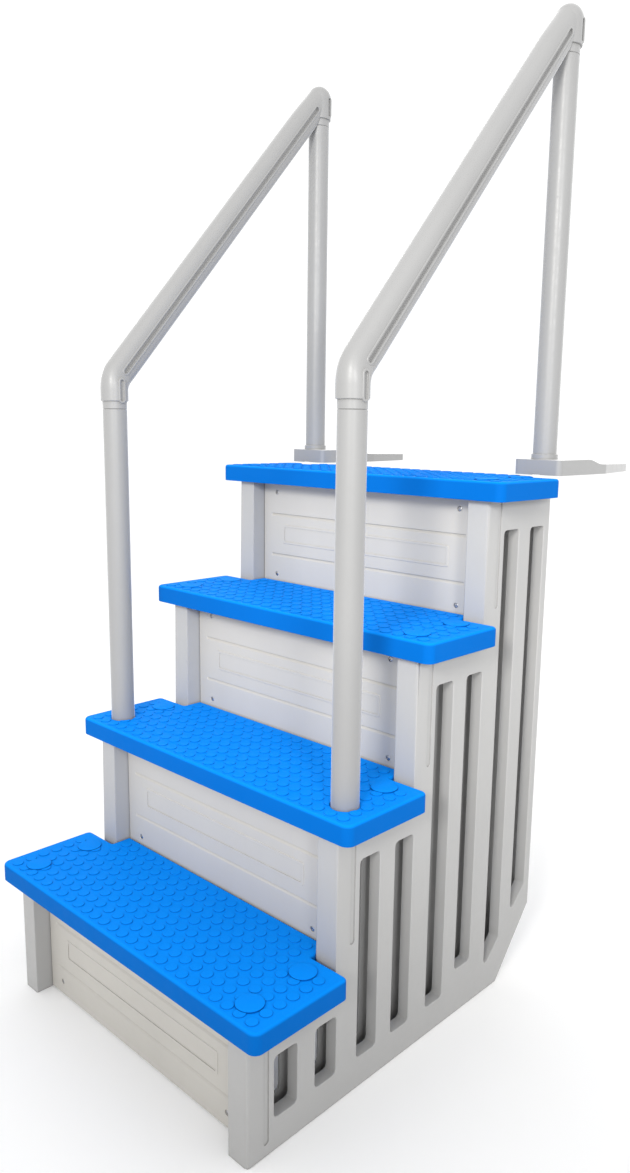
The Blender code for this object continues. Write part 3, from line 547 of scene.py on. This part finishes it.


# Colours of the painted shade in corners, for the grey parts and for the treads.
GREY_CREASE_SHADE = colour(0.74, 0.73, 0.71)
BLUE_CREASE_SHADE = colour(0.30, 0.50, 0.60)
BODY = moulded_plastic("body_resin", colour(0.385, 0.383, 0.379), colour(0.922, 0.922, 0.921),
                       colour(0.47, 0.47, 0.47), 0.46, 0.30, 0.45, 0.4, GREY_CREASE_SHADE)
# The risers' base is warmer than the body's: a painted tint that cancels the blue light bounced up from
# the treads.
SHEET = moulded_plastic("riser_resin", colour(0.480, 0.463, 0.430), colour(0.925, 0.927, 0.926),
                        colour(0.56, 0.55, 0.52), 0.50, 0.30, 0.45, 0.35, GREY_CREASE_SHADE)
# The treads' upright colour is painted shade on their fronts and sides.
TREAD = moulded_plastic("tread_resin", colour(0.0010, 0.248, 0.88), colour(0.90, 0.90, 0.92),
                        colour(0.006, 0.30, 0.97), 0.60, 0.40, 0.35, 0.03, BLUE_CREASE_SHADE,
                        upright=colour(0.0005, 0.118, 0.455))
RAIL = moulded_plastic("rail_resin", colour(0.262, 0.262, 0.262), colour(0.939, 0.939, 0.939),
                       colour(0.33, 0.33, 0.33), 0.40, 0.05, 0.12, 0.5, GREY_CREASE_SHADE, sheen=0.8)
STEEL = brushed_steel("screw_steel")
FLOOR = plain_floor("studio_floor")


def show(name, mesh, mat, nodes, body="ladder", angle=35.0):
    """A finished piece that stands for CAD nodes and rides on their body."""
    mesh.materials.clear()
    mesh.materials.append(mat)
    mesh.shade_smooth()
    mesh.set_sharp_from_angle(angle=math.radians(angle))
    piece = link(name, mesh)
    piece.modifiers.new("Even shading", "WEIGHTED_NORMAL").keep_sharp = True
    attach(piece, body)
    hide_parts(*nodes)
    return piece


def show_pair(name, mesh, mat, node, body="ladder", angle=35.0):
    """The same piece at both sides; body may hold %s for the side."""
    for side, side_name in SIDES.items():
        copy = mesh if side == 1 else mirrored(mesh)
        on = body % side_name if "%s" in body else body
        show("%s_%s" % (name, side_name), copy, mat, ["%s_%s" % (node, side_name)], on, angle)


# ---- Treads ------------------------------------------------------------------
def tread_outline(front, inset):
    """The tread's plan, moved inward; the notch corners grow instead of shrinking."""
    half = TREAD_HALF - inset
    near = front + inset
    ear, full = front + TREAD_EAR_DEPTH - inset, front + TREAD_FULL_DEPTH - inset
    notch = NOTCH_X - inset
    right = [(half, near), (half, ear), (notch, ear), (notch, full)]
    left = [(-x, y) for x, y in reversed(right)]
    radii = [TREAD_CORNER - inset, EAR_CORNER - inset, NOTCH_CORNER + inset,
             max(NOTCH_CORNER - inset, 0.0004)]
    return rounded(right + left, radii + radii[::-1], 8)


def tread_slab(step):
    """The board itself: a small round under its lower edge, a larger one above."""
    front, top = tread_front(step), tread_top(step)
    low = top - TREAD_THICKNESS
    levels = [(low, TREAD_LOWER_EDGE), (low + TREAD_LOWER_EDGE, 0.0)]
    levels += [(top - TREAD_EDGE + v, TREAD_EDGE - u) for u, v in arc((0, 0), TREAD_EDGE, 0, 90, 6)]
    return loft([[(x, y, z) for x, y in tread_outline(front, inset)] for z, inset in levels])


def dot_places(step):
    """A square grid, which stops short on the ears beside the next step."""
    front = tread_front(step)
    for row in range(DOT_ROWS):
        for column in range(DOT_COLUMNS):
            x = DOT_PITCH_X * (column + 0.5)
            if row >= DOT_EAR_ROWS and x + DOT_RADIUS > NOTCH_X - TREAD_EDGE:
                continue
            for side in SIDES:
                yield side * x, front + DOT_FIRST_ROW + DOT_PITCH_Y * row


def dots(step):
    """Raised dots with a soft rim, cut back round the caps and the handrails."""
    top = tread_top(step)
    profile = [(0, top + DOT_HEIGHT)]
    profile += [(DOT_RADIUS - DOT_RIM + u, top + DOT_HEIGHT - DOT_RIM + v)
                for u, v in reversed(list(arc((0, 0), DOT_RIM, 0, 90, 3)))]
    profile += [(DOT_RADIUS + DOT_FLARE, top), (DOT_RADIUS, top - DOT_ROOT), (0, top - DOT_ROOT)]
    every = link("dots", joined([turned(profile, 28, (x, y, 0)) for x, y in dot_places(step)]))
    seats = [cylinder(CAP_RADIUS + CAP_SEAT_MARGIN, top - CLEAR, top + CLEAR, 56, (x, y, 0))
             for _, x, y in bolt_places(step)]
    if step == 2:
        seats += [cylinder(FRONT_POST_RADIUS + POST_SEAT_MARGIN, top - CLEAR, top + CLEAR, 56,
                           (side * RAIL_X, FRONT_AXIS_Y, 0)) for side in SIDES]
    cut(every, joined(seats))
    return taken(every)


def tread_cells(front):
    """Open cells under a tread, between its skirt and its ribs."""
    pitch = (2 * NOTCH_X - TREAD_SKIN) / TREAD_COLUMNS
    middle = front + TREAD_FULL_DEPTH / 2
    for column in range(TREAD_COLUMNS):
        low = -NOTCH_X + TREAD_SKIN + column * pitch
        high = low + pitch - TREAD_SKIN
        yield (low, front + TREAD_SKIN), (high, middle - TREAD_SKIN / 2)
        yield (low, middle + TREAD_SKIN / 2), (high, front + TREAD_FULL_DEPTH - TREAD_SKIN)
    for side in SIDES:
        near, far = sorted((side * (OUTER_X + 2 * CELL_TO_PANEL), side * (TREAD_HALF - TREAD_SKIN)))
        yield (near, front + TREAD_CORNER), (far, front + TREAD_EAR_DEPTH - EAR_CORNER)
        near, far = sorted((side * (INNER_X + CELL_TO_PANEL), side * (OUTER_X - CELL_TO_PANEL)))
        yield (near, front + BOLT_CELL[0]), (far, front + BOLT_CELL[1])


def tread(step):
    front, top = tread_front(step), tread_top(step)
    low = top - TREAD_THICKNESS
    piece = link("tread", tread_slab(step))
    cells = [upright_prism(rectangle(a, b, CELL_CORNER), low - CLEAR, top - TREAD_SKIN)
             for a, b in tread_cells(front)]
    cut(piece, joined(cells))
    holes = [cylinder(BOLT_STEM + GAP, low - CLEAR, top + CLEAR, 32, (x, y, 0))
             for _, x, y in bolt_places(step)]
    if step == 2:
        for side in SIDES:
            inner = FRONT_POST_RADIUS + GAP
            outer = inner + POST_HOLE_CHAMFER
            profile = [(0, top + CLEAR), (outer, top + CLEAR), (outer, top),
                       (inner, top - POST_HOLE_CHAMFER), (inner, low - CLEAR), (0, low - CLEAR)]
            holes.append(turned(profile, 64, (side * RAIL_X, FRONT_AXIS_Y, 0)))
    cut(piece, joined(holes))
    boolean(piece, dots(step), "UNION", flat=0)
    show("moulded_tread_%d" % step, taken(piece), TREAD, ["tread_%d" % step], angle=30.0)


def tread_bolts():
    """Round caps with a shallow dome and a soft rim, each on its stem."""
    crown = CAP_HEIGHT - CAP_CROWN
    rings = 6
    profile = [(0, CAP_HEIGHT)]
    profile += [(CAP_CROWN_RADIUS * k / rings, CAP_HEIGHT - CAP_CROWN * (k / rings) ** 2)
                for k in range(1, rings + 1)]
    profile += [(CAP_RADIUS - CAP_RIM + u, crown - CAP_RIM + v)
                for u, v in reversed(list(arc((0, 0), CAP_RIM, 0, 80, 5)))]
    profile += [(CAP_RADIUS, 0), (BOLT_STEM, 0), (BOLT_STEM, BOLT_END + 0.0006),
                (BOLT_STEM - 0.0008, BOLT_END), (0, BOLT_END)]
    shape = turned(profile, 56)
    for step in range(1, STEPS + 1):
        for side, x, y in bolt_places(step):
            end = "front" if y < tread_front(step) + TREAD_EAR_DEPTH / 2 else "rear"
            node = "tread_%d_bolt_%s_%s" % (step, end, SIDES[side])
            mesh = shape.copy()
            mesh.transform(Matrix.Translation((x, y, tread_top(step) + GAP)))
            show("cap_" + node, mesh, TREAD, [node], angle=30.0)


# ---- Side panels and risers --------------------------------------------------
def side_panels():
    """The CAD shape with its rims rounded, so that every slot has a soft edge."""
    fronts = [tread_front(step) + POST_SETBACK for step in range(1, STEPS + 1)]
    slack = 0.0001

    def on_outside(a, b):
        return min(a.x, b.x) > OUTER_X - slack

    def on_groove(a, b):
        return any(front - slack < min(a.y, b.y) - POST_GROOVE[0]
                   and max(a.y, b.y) - POST_GROOVE[1] < front + slack
                   for front in map(tread_front, range(1, STEPS + 1)))

    def outer_rim(a, b):
        return on_outside(a, b) and not on_groove(a, b)

    def groove_rim(a, b):
        return on_outside(a, b) and on_groove(a, b)

    def inner_front(a, b):
        on_front = any(abs(a.y - front) < slack and abs(b.y - front) < slack for front in fronts)
        return on_front and abs(a.x - INNER_X) < slack and abs(b.x - INNER_X) < slack

    mesh = softened("side_panel_right", [(POST_GROOVE_RIM, 2, groove_rim), (PANEL_RIM, 4, outer_rim),
                                         (POST_INNER_RIM, 3, inner_front)])
    mesh = refilled(refilled(mesh, OUTER_X), INNER_X)
    show_pair("slotted_panel", mesh, BODY, "side_panel", angle=32.0)


def riser_groove(face, z, depth):
    """Section of a groove, (y, z): a sharp upper edge over a band that slopes out to the face."""
    ahead = face - 0.004
    inside = [(0.0000, -0.0072), (0.0004, -0.0062), (0.0027, -0.0020), (0.0030, -0.0010), (0.0028, 0.0000)]
    section = [(ahead, z - 0.0110)] + [(face + y * depth, z + dz) for y, dz in inside]
    return section + [(ahead, z + 0.0006)]


def riser_groove_cutter(face, z):
    """The groove along x, running out over its last few millimetres."""
    ends = ((GROOVE_HALF, 0.05), (GROOVE_HALF - 0.0015, 0.7), (GROOVE_HALF - 0.0040, 1.0))
    stations = [(-x, depth) for x, depth in ends] + [(x, depth) for x, depth in reversed(ends)]
    return loft([[(x, y, z) for y, z in riser_groove(face, z, depth)] for x, depth in stations])


def field_block(face, low, high, inset, front, back):
    """A flat block on a riser's face with sloping edges, between two depths."""
    rings = []
    for y, grow in ((back, 0.0), (face, 0.0), (front, -FIELD_SLOPE)):
        a = (-FIELD_HALF + inset - grow, low + inset - grow)
        b = (FIELD_HALF - inset + grow, high - inset + grow)
        rings.append([(x, y, z) for x, z in rectangle(a, b, FIELD_CORNER, 3)])
    return loft(rings)


def riser_screw_heights(step):
    low, high = (tread_top(step - 1) + height for height in RISER_SCREWS)
    return (FIRST_SCREW if step == 1 else low, high)


# Radius and height of the pocket and hole that take a riser's screw, from its front face.
SCREW_POCKET = [(0, CLEAR), (0.0066, CLEAR), (0.0060, 0.0001), (0.0053, -0.0008),
                (0.0052, -0.0026), (0.0027, -0.0026), (0.0027, -0.020), (0, -0.020)]


def riser(step):
    """A sheet with two grooves, a beaded field between them and ribs behind them."""
    face = tread_front(step) + RISER_SETBACK
    low_box, high_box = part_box("riser_panel_%d" % step)
    below = tread_top(step - 1)
    half, low, high = high_box.x, low_box.z, high_box.z
    rings = []
    for y, inset in ((face, RISER_EDGE), (face + RISER_EDGE, 0.0), (face + RISER_THICKNESS, 0.0)):
        outline = rectangle((-half + inset, low + inset), (half - inset, high - inset), 2 * RISER_EDGE, 3)
        rings.append([(x, y, z) for x, z in outline])
    piece = link("riser", loft(rings))
    for height in RISER_GROOVES:
        z = below + height
        back = high_box.y
        rib = []
        for y, inset in ((face + RISER_THICKNESS - 0.0015, 0.0), (back - RIB_EDGE, 0.0), (back, RIB_EDGE)):
            outline = rectangle((-RIB_HALF + inset, z - RIB_BELOW + inset),
                                (RIB_HALF - inset, z + RIB_ABOVE - inset), 2 * RIB_EDGE, 3)
            rib.append([(x, y, h) for x, h in outline])
        join(piece, loft(rib))
        cut(piece, riser_groove_cutter(face, z))
    low, high = below + RISER_GROOVES[0] + FIELD_MARGIN, below + RISER_GROOVES[1] - FIELD_MARGIN
    join(piece, field_block(face, low, high, 0.0, face - FIELD_HEIGHT, face + 0.002))
    cut(piece, field_block(face, low, high, FIELD_BEAD, face + 0.0001, face - RISER_THICKNESS))
    for side in SIDES:
        for height in riser_screw_heights(step):
            cut(piece, turned(SCREW_POCKET, 32, (side * RISER_SCREW_X, face, height), TO_FRONT))
    show("grooved_riser_%d" % step, taken(piece), SHEET, ["riser_panel_%d" % step],
         angle=32.0)


# ---- Handrails ---------------------------------------------------------------
def rail_point(distance):
    return (FRONT_AXIS_Y + distance * math.cos(RAIL_SLOPE),
            LOW_BEND_Z + distance * math.sin(RAIL_SLOPE))


def smooth(share):
    return share * share * (3 - 2 * share)


def rail_ring(y, z, angle, half_x, half_n, power, count=56):
    """A rounded section: an ellipse at power 2, squarer above it."""
    normal = Vector((0, -math.sin(angle), math.cos(angle)))
    ring = []
    for k in range(count):
        turn = 2 * math.pi * k / count
        c, s = math.cos(turn), math.sin(turn)
        u = math.copysign(abs(c) ** (2 / power), c) * half_x
        v = math.copysign(abs(s) ** (2 / power), s) * half_n
        ring.append(Vector((RAIL_X + u, y, z)) + normal * v)
    return ring


def rail_bar():
    """Round sleeve, lower bend, then the sloping bar up into the upper elbow."""
    upright = math.radians(90)
    reach = LOW_BEND_RADIUS * math.tan((upright - RAIL_SLOPE) / 2)
    rings = []
    for u, v in arc((0, 0), SLEEVE_RIM, -90, 0, 4):
        radius = SLEEVE_RADIUS - SLEEVE_RIM + u
        rings.append(rail_ring(FRONT_AXIS_Y, LOW_SLEEVE_Z + SLEEVE_RIM + v, upright, radius, radius, 2.0))
    bends = 14
    for k in range(bends + 1):
        share = k / bends
        turn = (upright - RAIL_SLOPE) * share
        y = FRONT_AXIS_Y + LOW_BEND_RADIUS * (1 - math.cos(turn))
        z = LOW_BEND_Z - reach + LOW_BEND_RADIUS * math.sin(turn)
        half_x = SLEEVE_RADIUS + (RAIL_HALF_WIDTH - SLEEVE_RADIUS) * smooth(share)
        half_n = SLEEVE_RADIUS + (RAIL_HALF_HEIGHT - SLEEVE_RADIUS) * smooth(share)
        rings.append(rail_ring(y, z, upright - turn, half_x, half_n, 2.0 + 0.4 * smooth(share)))
    for distance in (0.05, 0.09, RAIL_LENGTH - BAR_END):
        rings.append(rail_ring(*rail_point(distance), RAIL_SLOPE, RAIL_HALF_WIDTH, RAIL_HALF_HEIGHT,
                               BAR_POWER))
    ends = 6
    for k in range(1, ends + 1):
        share = smooth(k / ends)
        half_x = RAIL_HALF_WIDTH + (SLEEVE_RADIUS - 0.0035 - RAIL_HALF_WIDTH) * share
        half_n = RAIL_HALF_HEIGHT + (SLEEVE_RADIUS - 0.0003 - RAIL_HALF_HEIGHT) * share
        where = rail_point(RAIL_LENGTH - BAR_END + BAR_END * k / ends)
        rings.append(rail_ring(*where, RAIL_SLOPE, half_x, half_n, BAR_POWER - 0.4 * share))
    return loft(rings)


def neck_profile(sleeve_z, neck_z, post_radius):
    """From inside the sleeve down past the neck band to the spigot in the post."""
    spigot = post_radius - POST_WALL - GAP
    return [(post_radius, sleeve_z + 0.002), (post_radius, neck_z + POST_CHAMFER),
            (post_radius - POST_CHAMFER, neck_z), (spigot, neck_z), (spigot, neck_z - SPIGOT),
            (0, neck_z - SPIGOT)]


def upper_elbow():
    """Hemispherical nose, sleeve and neck, all round the rear post's axis."""
    profile = list(arc((0, HIGH_BEND_Z), SLEEVE_RADIUS, 90, 0, 16))
    profile[0] = (0, profile[0][1])
    profile += [(SLEEVE_RADIUS - SLEEVE_RIM + u, HIGH_SLEEVE_Z + SLEEVE_RIM + v)
                for u, v in arc((0, 0), SLEEVE_RIM, 0, -90, 4)]
    profile.append((REAR_POST_RADIUS, HIGH_SLEEVE_Z))
    profile += neck_profile(HIGH_SLEEVE_Z, HIGH_NECK_Z, REAR_POST_RADIUS)[1:]
    return turned(profile, 56, (RAIL_X, REAR_AXIS_Y, 0))


def elbow_web():
    """Flat web in the acute corner under the upper elbow."""
    foot = HIGH_SLEEVE_Z + 0.001
    outline = [(REAR_AXIS_Y, HIGH_BEND_Z - 0.008), rail_point(RAIL_LENGTH - WEB_REACH),
               (REAR_AXIS_Y - 0.020, foot), (REAR_AXIS_Y, foot)]
    middle = sum((Vector(p) for p in outline), Vector((0, 0))) / len(outline)
    rings = []
    for x, inset in ((-WEB_HALF, WEB_EDGE), (-WEB_HALF + WEB_EDGE, 0.0), (WEB_HALF - WEB_EDGE, 0.0),
                     (WEB_HALF, WEB_EDGE)):
        ring = []
        for point in outline:
            toward = (middle - Vector(point)).normalized() * inset
            ring.append((RAIL_X + x, point[0] + toward.x, point[1] + toward.y))
        rings.append(ring)
    return loft(rings)


def groove_cutter(start, end, width, face, depth):
    """A round-ended groove in a side face, with a soft rim and a dished floor."""
    rim = 0.0008
    levels = [(face - depth, -0.0012), (face - depth + 0.0005, -0.0004), (face - depth + 0.0014, 0.0)]
    levels += [(face - rim + rim * math.sin(a), rim - rim * math.cos(a))
               for a in (0.0, math.pi / 6, math.pi / 3, math.pi / 2)]
    levels.append((face + CLEAR, rim))
    return [[(x, y, z) for y, z in round_ended(start, end, width + 2 * grow)] for x, grow in levels]


def groove_lip(start, end, width, face):
    """The raised bead round a groove, standing on the side face."""
    levels = [(face - 0.006, 0.0042), (face - 0.0012, 0.0036), (face - 0.0004, 0.0031), (face, 0.0022)]
    return [[(x, y, z) for y, z in round_ended(start, end, width + 2 * grow)] for x, grow in levels]


def cut_grooves(rail):
    """Long grooves along the bar and short upright ones in both sleeves, on both faces.

    Each row gives a groove's start, end, width, the level of its lip and its depth below that.
    """
    rear_y = REAR_AXIS_Y + 0.008
    low_y = FRONT_AXIS_Y + 0.001
    for start, end, width, face, depth in (
            (rail_point(0.022), rail_point(RAIL_LENGTH - 0.045), 0.0100, RAIL_HALF_WIDTH + 0.0012, 0.0060),
            ((low_y, LOW_SLEEVE_Z + 0.004), (low_y, LOW_BEND_Z - 0.006), 0.0095, SLEEVE_RADIUS + 0.0004,
             0.0037),
            ((rear_y, HIGH_SLEEVE_Z + 0.010), (rear_y, HIGH_BEND_Z - 0.004), 0.0070,
             SLEEVE_RADIUS - 0.0004, 0.0050)):
        for rings, add in ((groove_lip(start, end, width, face), join),
                           (groove_cutter(start, end, width, face, depth), cut)):
            for side in SIDES:
                add(rail, loft([[(RAIL_X + side * x, y, z) for x, y, z in ring] for ring in rings]))


def top_rails():
    rail = link("rail", rail_bar())
    join(rail, upper_elbow(), elbow_web())
    neck = [(0, LOW_SLEEVE_Z + 0.002)] + neck_profile(LOW_SLEEVE_Z, LOW_NECK_Z, FRONT_POST_RADIUS)
    join(rail, turned(neck, 56, (RAIL_X, FRONT_AXIS_Y, 0)))
    cut_grooves(rail)
    show_pair("handrail", taken(rail), RAIL, "top_rail", angle=38.0)


def posts():
    """Tubes with a small chamfer at their open ends, except at the front tube's narrow foot."""
    inner = FRONT_POST_RADIUS - POST_WALL
    head = LOW_NECK_Z - GAP
    seat = TREAD_BOXES[2][0].z
    foot = FRONT_POST_BOX[0].z
    foot_inner = FRONT_POST_FOOT_RADIUS - POST_WALL
    profile = [(inner, head), (FRONT_POST_RADIUS - POST_CHAMFER, head),
               (FRONT_POST_RADIUS, head - POST_CHAMFER), (FRONT_POST_RADIUS, seat),
               (FRONT_POST_FOOT_RADIUS, seat), (FRONT_POST_FOOT_RADIUS, foot), (foot_inner, foot),
               (foot_inner, seat + 0.004), (inner, seat + 0.012)]
    mesh = turned(profile, 64, (RAIL_X, FRONT_AXIS_Y, 0))
    show_pair("front_tube", mesh, RAIL, "front_post")
    inner = REAR_POST_RADIUS - POST_WALL
    foot, head = REAR_POST_BOX[0].z, REAR_POST_BOX[1].z
    profile = [(inner, head), (REAR_POST_RADIUS - POST_CHAMFER, head),
               (REAR_POST_RADIUS, head - POST_CHAMFER), (REAR_POST_RADIUS, foot + POST_CHAMFER),
               (REAR_POST_RADIUS - POST_CHAMFER, foot), (inner, foot)]
    mesh = turned(profile, 64, (RAIL_X, REAR_AXIS_Y, 0))
    show_pair("rear_tube", mesh, RAIL, "rear_post")


# ---- Deck flanges ------------------------------------------------------------
def flanges():
    """The CAD shape with its top edges and hole rims rounded."""
    low = FLANGE_BOTTOM + 0.0001
    axis = Vector((RAIL_X, REAR_AXIS_Y))

    def top_rim(a, b):
        at_collar = min((a.xy - axis).length, (b.xy - axis).length) < COLLAR_LIP + 0.001
        at_screw = max(abs(a.x - RAIL_X), abs(b.x - RAIL_X)) < 0.0080
        level = abs(a.z - b.z) < 0.012
        return min(a.z, b.z) > low and level and not at_collar and not at_screw

    mesh = softened("deck_flange_right", [(FLANGE_RIM, 4, top_rim)])
    show_pair("flange_plate", mesh, RAIL, "deck_flange", "flange_%s", 32.0)


def collars():
    """A short sleeve round the post, with a lip that rests on the flange."""
    inner = REAR_POST_RADIUS + GAP
    profile = [(inner, COLLAR_HEIGHT - 0.0006), (inner + 0.0006, COLLAR_HEIGHT)]
    profile += [(COLLAR_RADIUS - COLLAR_RIM + u, COLLAR_HEIGHT - COLLAR_RIM + v)
                for u, v in reversed(list(arc((0, 0), COLLAR_RIM, 0, 90, 4)))]
    profile += [(COLLAR_RADIUS, COLLAR_LIP_HEIGHT), (COLLAR_LIP, COLLAR_LIP_HEIGHT),
                (COLLAR_LIP, COLLAR_FOOT), (inner, COLLAR_FOOT)]
    mesh = turned(profile, 64, (RAIL_X, REAR_AXIS_Y, FLANGE_BOTTOM))
    show_pair("clamp_sleeve", mesh, RAIL, "flange_collar", "collar_%s")


# ---- Fasteners ---------------------------------------------------------------
def screw_shape(head_radius, head_height, stem_radius, length, recess):
    """A domed head on a stem, its seat at z = 0, with one or two blades of recess."""
    crown = [(head_radius * math.sin(math.radians(a)) ** 0.8,
              head_height * (0.35 + 0.65 * math.cos(math.radians(a)))) for a in (18, 36, 54, 72, 90)]
    profile = [(0, head_height)] + crown
    profile += [(head_radius, 0), (stem_radius, 0), (stem_radius, -length + stem_radius), (0, -length)]
    screw = link("screw", turned(profile, 32))
    reach, half, depth = head_radius * 0.62, head_radius * 0.13, head_height * 0.75
    for k in range(recess):
        blade = rectangle((-reach, -half), (reach, half), half * 0.4, 2)
        mesh = upright_prism(blade, head_height - depth, head_height + CLEAR)
        mesh.transform(Matrix.Rotation(math.radians(45 + 90 * k), 4, "Z"))
        cut(screw, mesh)
    return taken(screw)


def set_screws(nodes, shape, seat, turn, body="ladder"):
    """One copy of a screw for each node, on its axis, with its seat this far from its head's top."""
    for node in nodes:
        low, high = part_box(node)
        top = low.y if turn is TO_FRONT else high.y
        where = Vector(((low.x + high.x) / 2, top + seat if turn is TO_FRONT else top - seat,
                        (low.z + high.z) / 2))
        mesh = shape.copy()
        mesh.transform(Matrix.Translation(where) @ turn)
        on = body % ("right" if where.x > 0 else "left") if "%s" in body else body
        show("fitted_" + node, mesh, STEEL, [node], on, 30.0)


def fasteners():
    names = sorted(frame["nodes"])
    pan = screw_shape(0.0046, 0.0019, 0.0020, 0.0147, 2)
    set_screws([n for n in names if n.startswith("riser_") and "_screw_" in n], pan, 0.0019, TO_FRONT)
    pin = screw_shape(0.0045, 0.0021, 0.0020, 0.0135, 2)
    set_screws([n for n in names if n.startswith("rail_screw_")], pin, 0.0021, TO_REAR)
    bolt = screw_shape(0.0062, 0.0045, 0.0030, 0.0325, 2)
    set_screws([n for n in names if n.startswith("post_bolt_")], bolt, 0.0045, TO_REAR)
    grub = screw_shape(0.0036, 0.0056, 0.0020, 0.0025, 1)
    set_screws([n for n in names if n.startswith("collar_screw_")], grub, 0.0056, TO_REAR, "collar_%s")


for number in range(1, STEPS + 1):
    tread(number)
tread_bolts()
side_panels()
for number in range(1, STEPS + 1):
    riser(number)
top_rails()
posts()
flanges()
collars()
fasteners()


# ---- Stage, light and camera -------------------------------------------------
FLOOR_SIZE = 30.0
FLOOR_DROP = 0.0002          # just below the ladder's feet
SKY_STRENGTH = 1.12          # bright enough to hide where the floor ends
SPOT_BLEND = 0.20


def floor():
    bm = bmesh.new()
    bmesh.ops.create_grid(bm, x_segments=2, y_segments=2, size=FLOOR_SIZE)
    obj = link("floor", new_mesh(bm))
    obj.location.z = -FLOOR_DROP
    obj.data.materials.append(FLOOR)


def soft_spot(name, place, target, tint, power, cone, radius):
    """A large soft spot; the soft end of its cone leaves the lowest step darker."""
    data = bpy.data.lights.new(name, "SPOT")
    data.energy = power
    data.color = tint
    data.spot_size = math.radians(cone)
    data.spot_blend = SPOT_BLEND
    data.shadow_soft_size = radius
    obj = link(name, data)
    obj.location = place
    obj.rotation_euler = (Vector(target) - Vector(place)).to_track_quat("-Z", "Y").to_euler()


def world():
    sky = bpy.data.worlds.new("studio")
    sky.use_nodes = True
    background = sky.node_tree.nodes["Background"]
    background.inputs["Color"].default_value = colour(1.0, 1.0, 1.0)
    background.inputs["Strength"].default_value = SKY_STRENGTH
    bpy.context.scene.world = sky


def camera():
    """The photo's camera, solved from the ladder's straight edges."""
    place = (1.3476, -1.443, 1.209)
    azimuth, elevation, roll = math.radians(42.86), math.radians(10.30), math.radians(0.98)
    data = bpy.data.cameras.new("camera")
    data.sensor_width = 36.0
    data.lens = 27.876
    data.shift_x = -0.0222
    data.shift_y = 0.0029
    obj = link("camera", data)
    obj.matrix_world = (Matrix.Translation(place) @ Matrix.Rotation(azimuth, 4, "Z")
                        @ Matrix.Rotation(math.radians(90) - elevation, 4, "X")
                        @ Matrix.Rotation(roll, 4, "Z"))
    bpy.context.scene.camera = obj


floor()
world()
soft_spot("key", (1.85, -3.96, 2.62), (0, 0, 1.85), (1.0, 0.985, 0.95), 620.0, 44.0, 0.55)
soft_spot("side", (3.9, -2.5, 2.3), (0, 0, 1.98), (1.0, 1.0, 1.0), 410.0, 44.0, 0.45)
camera()
bpy.context.scene.view_settings.view_transform = "Standard"
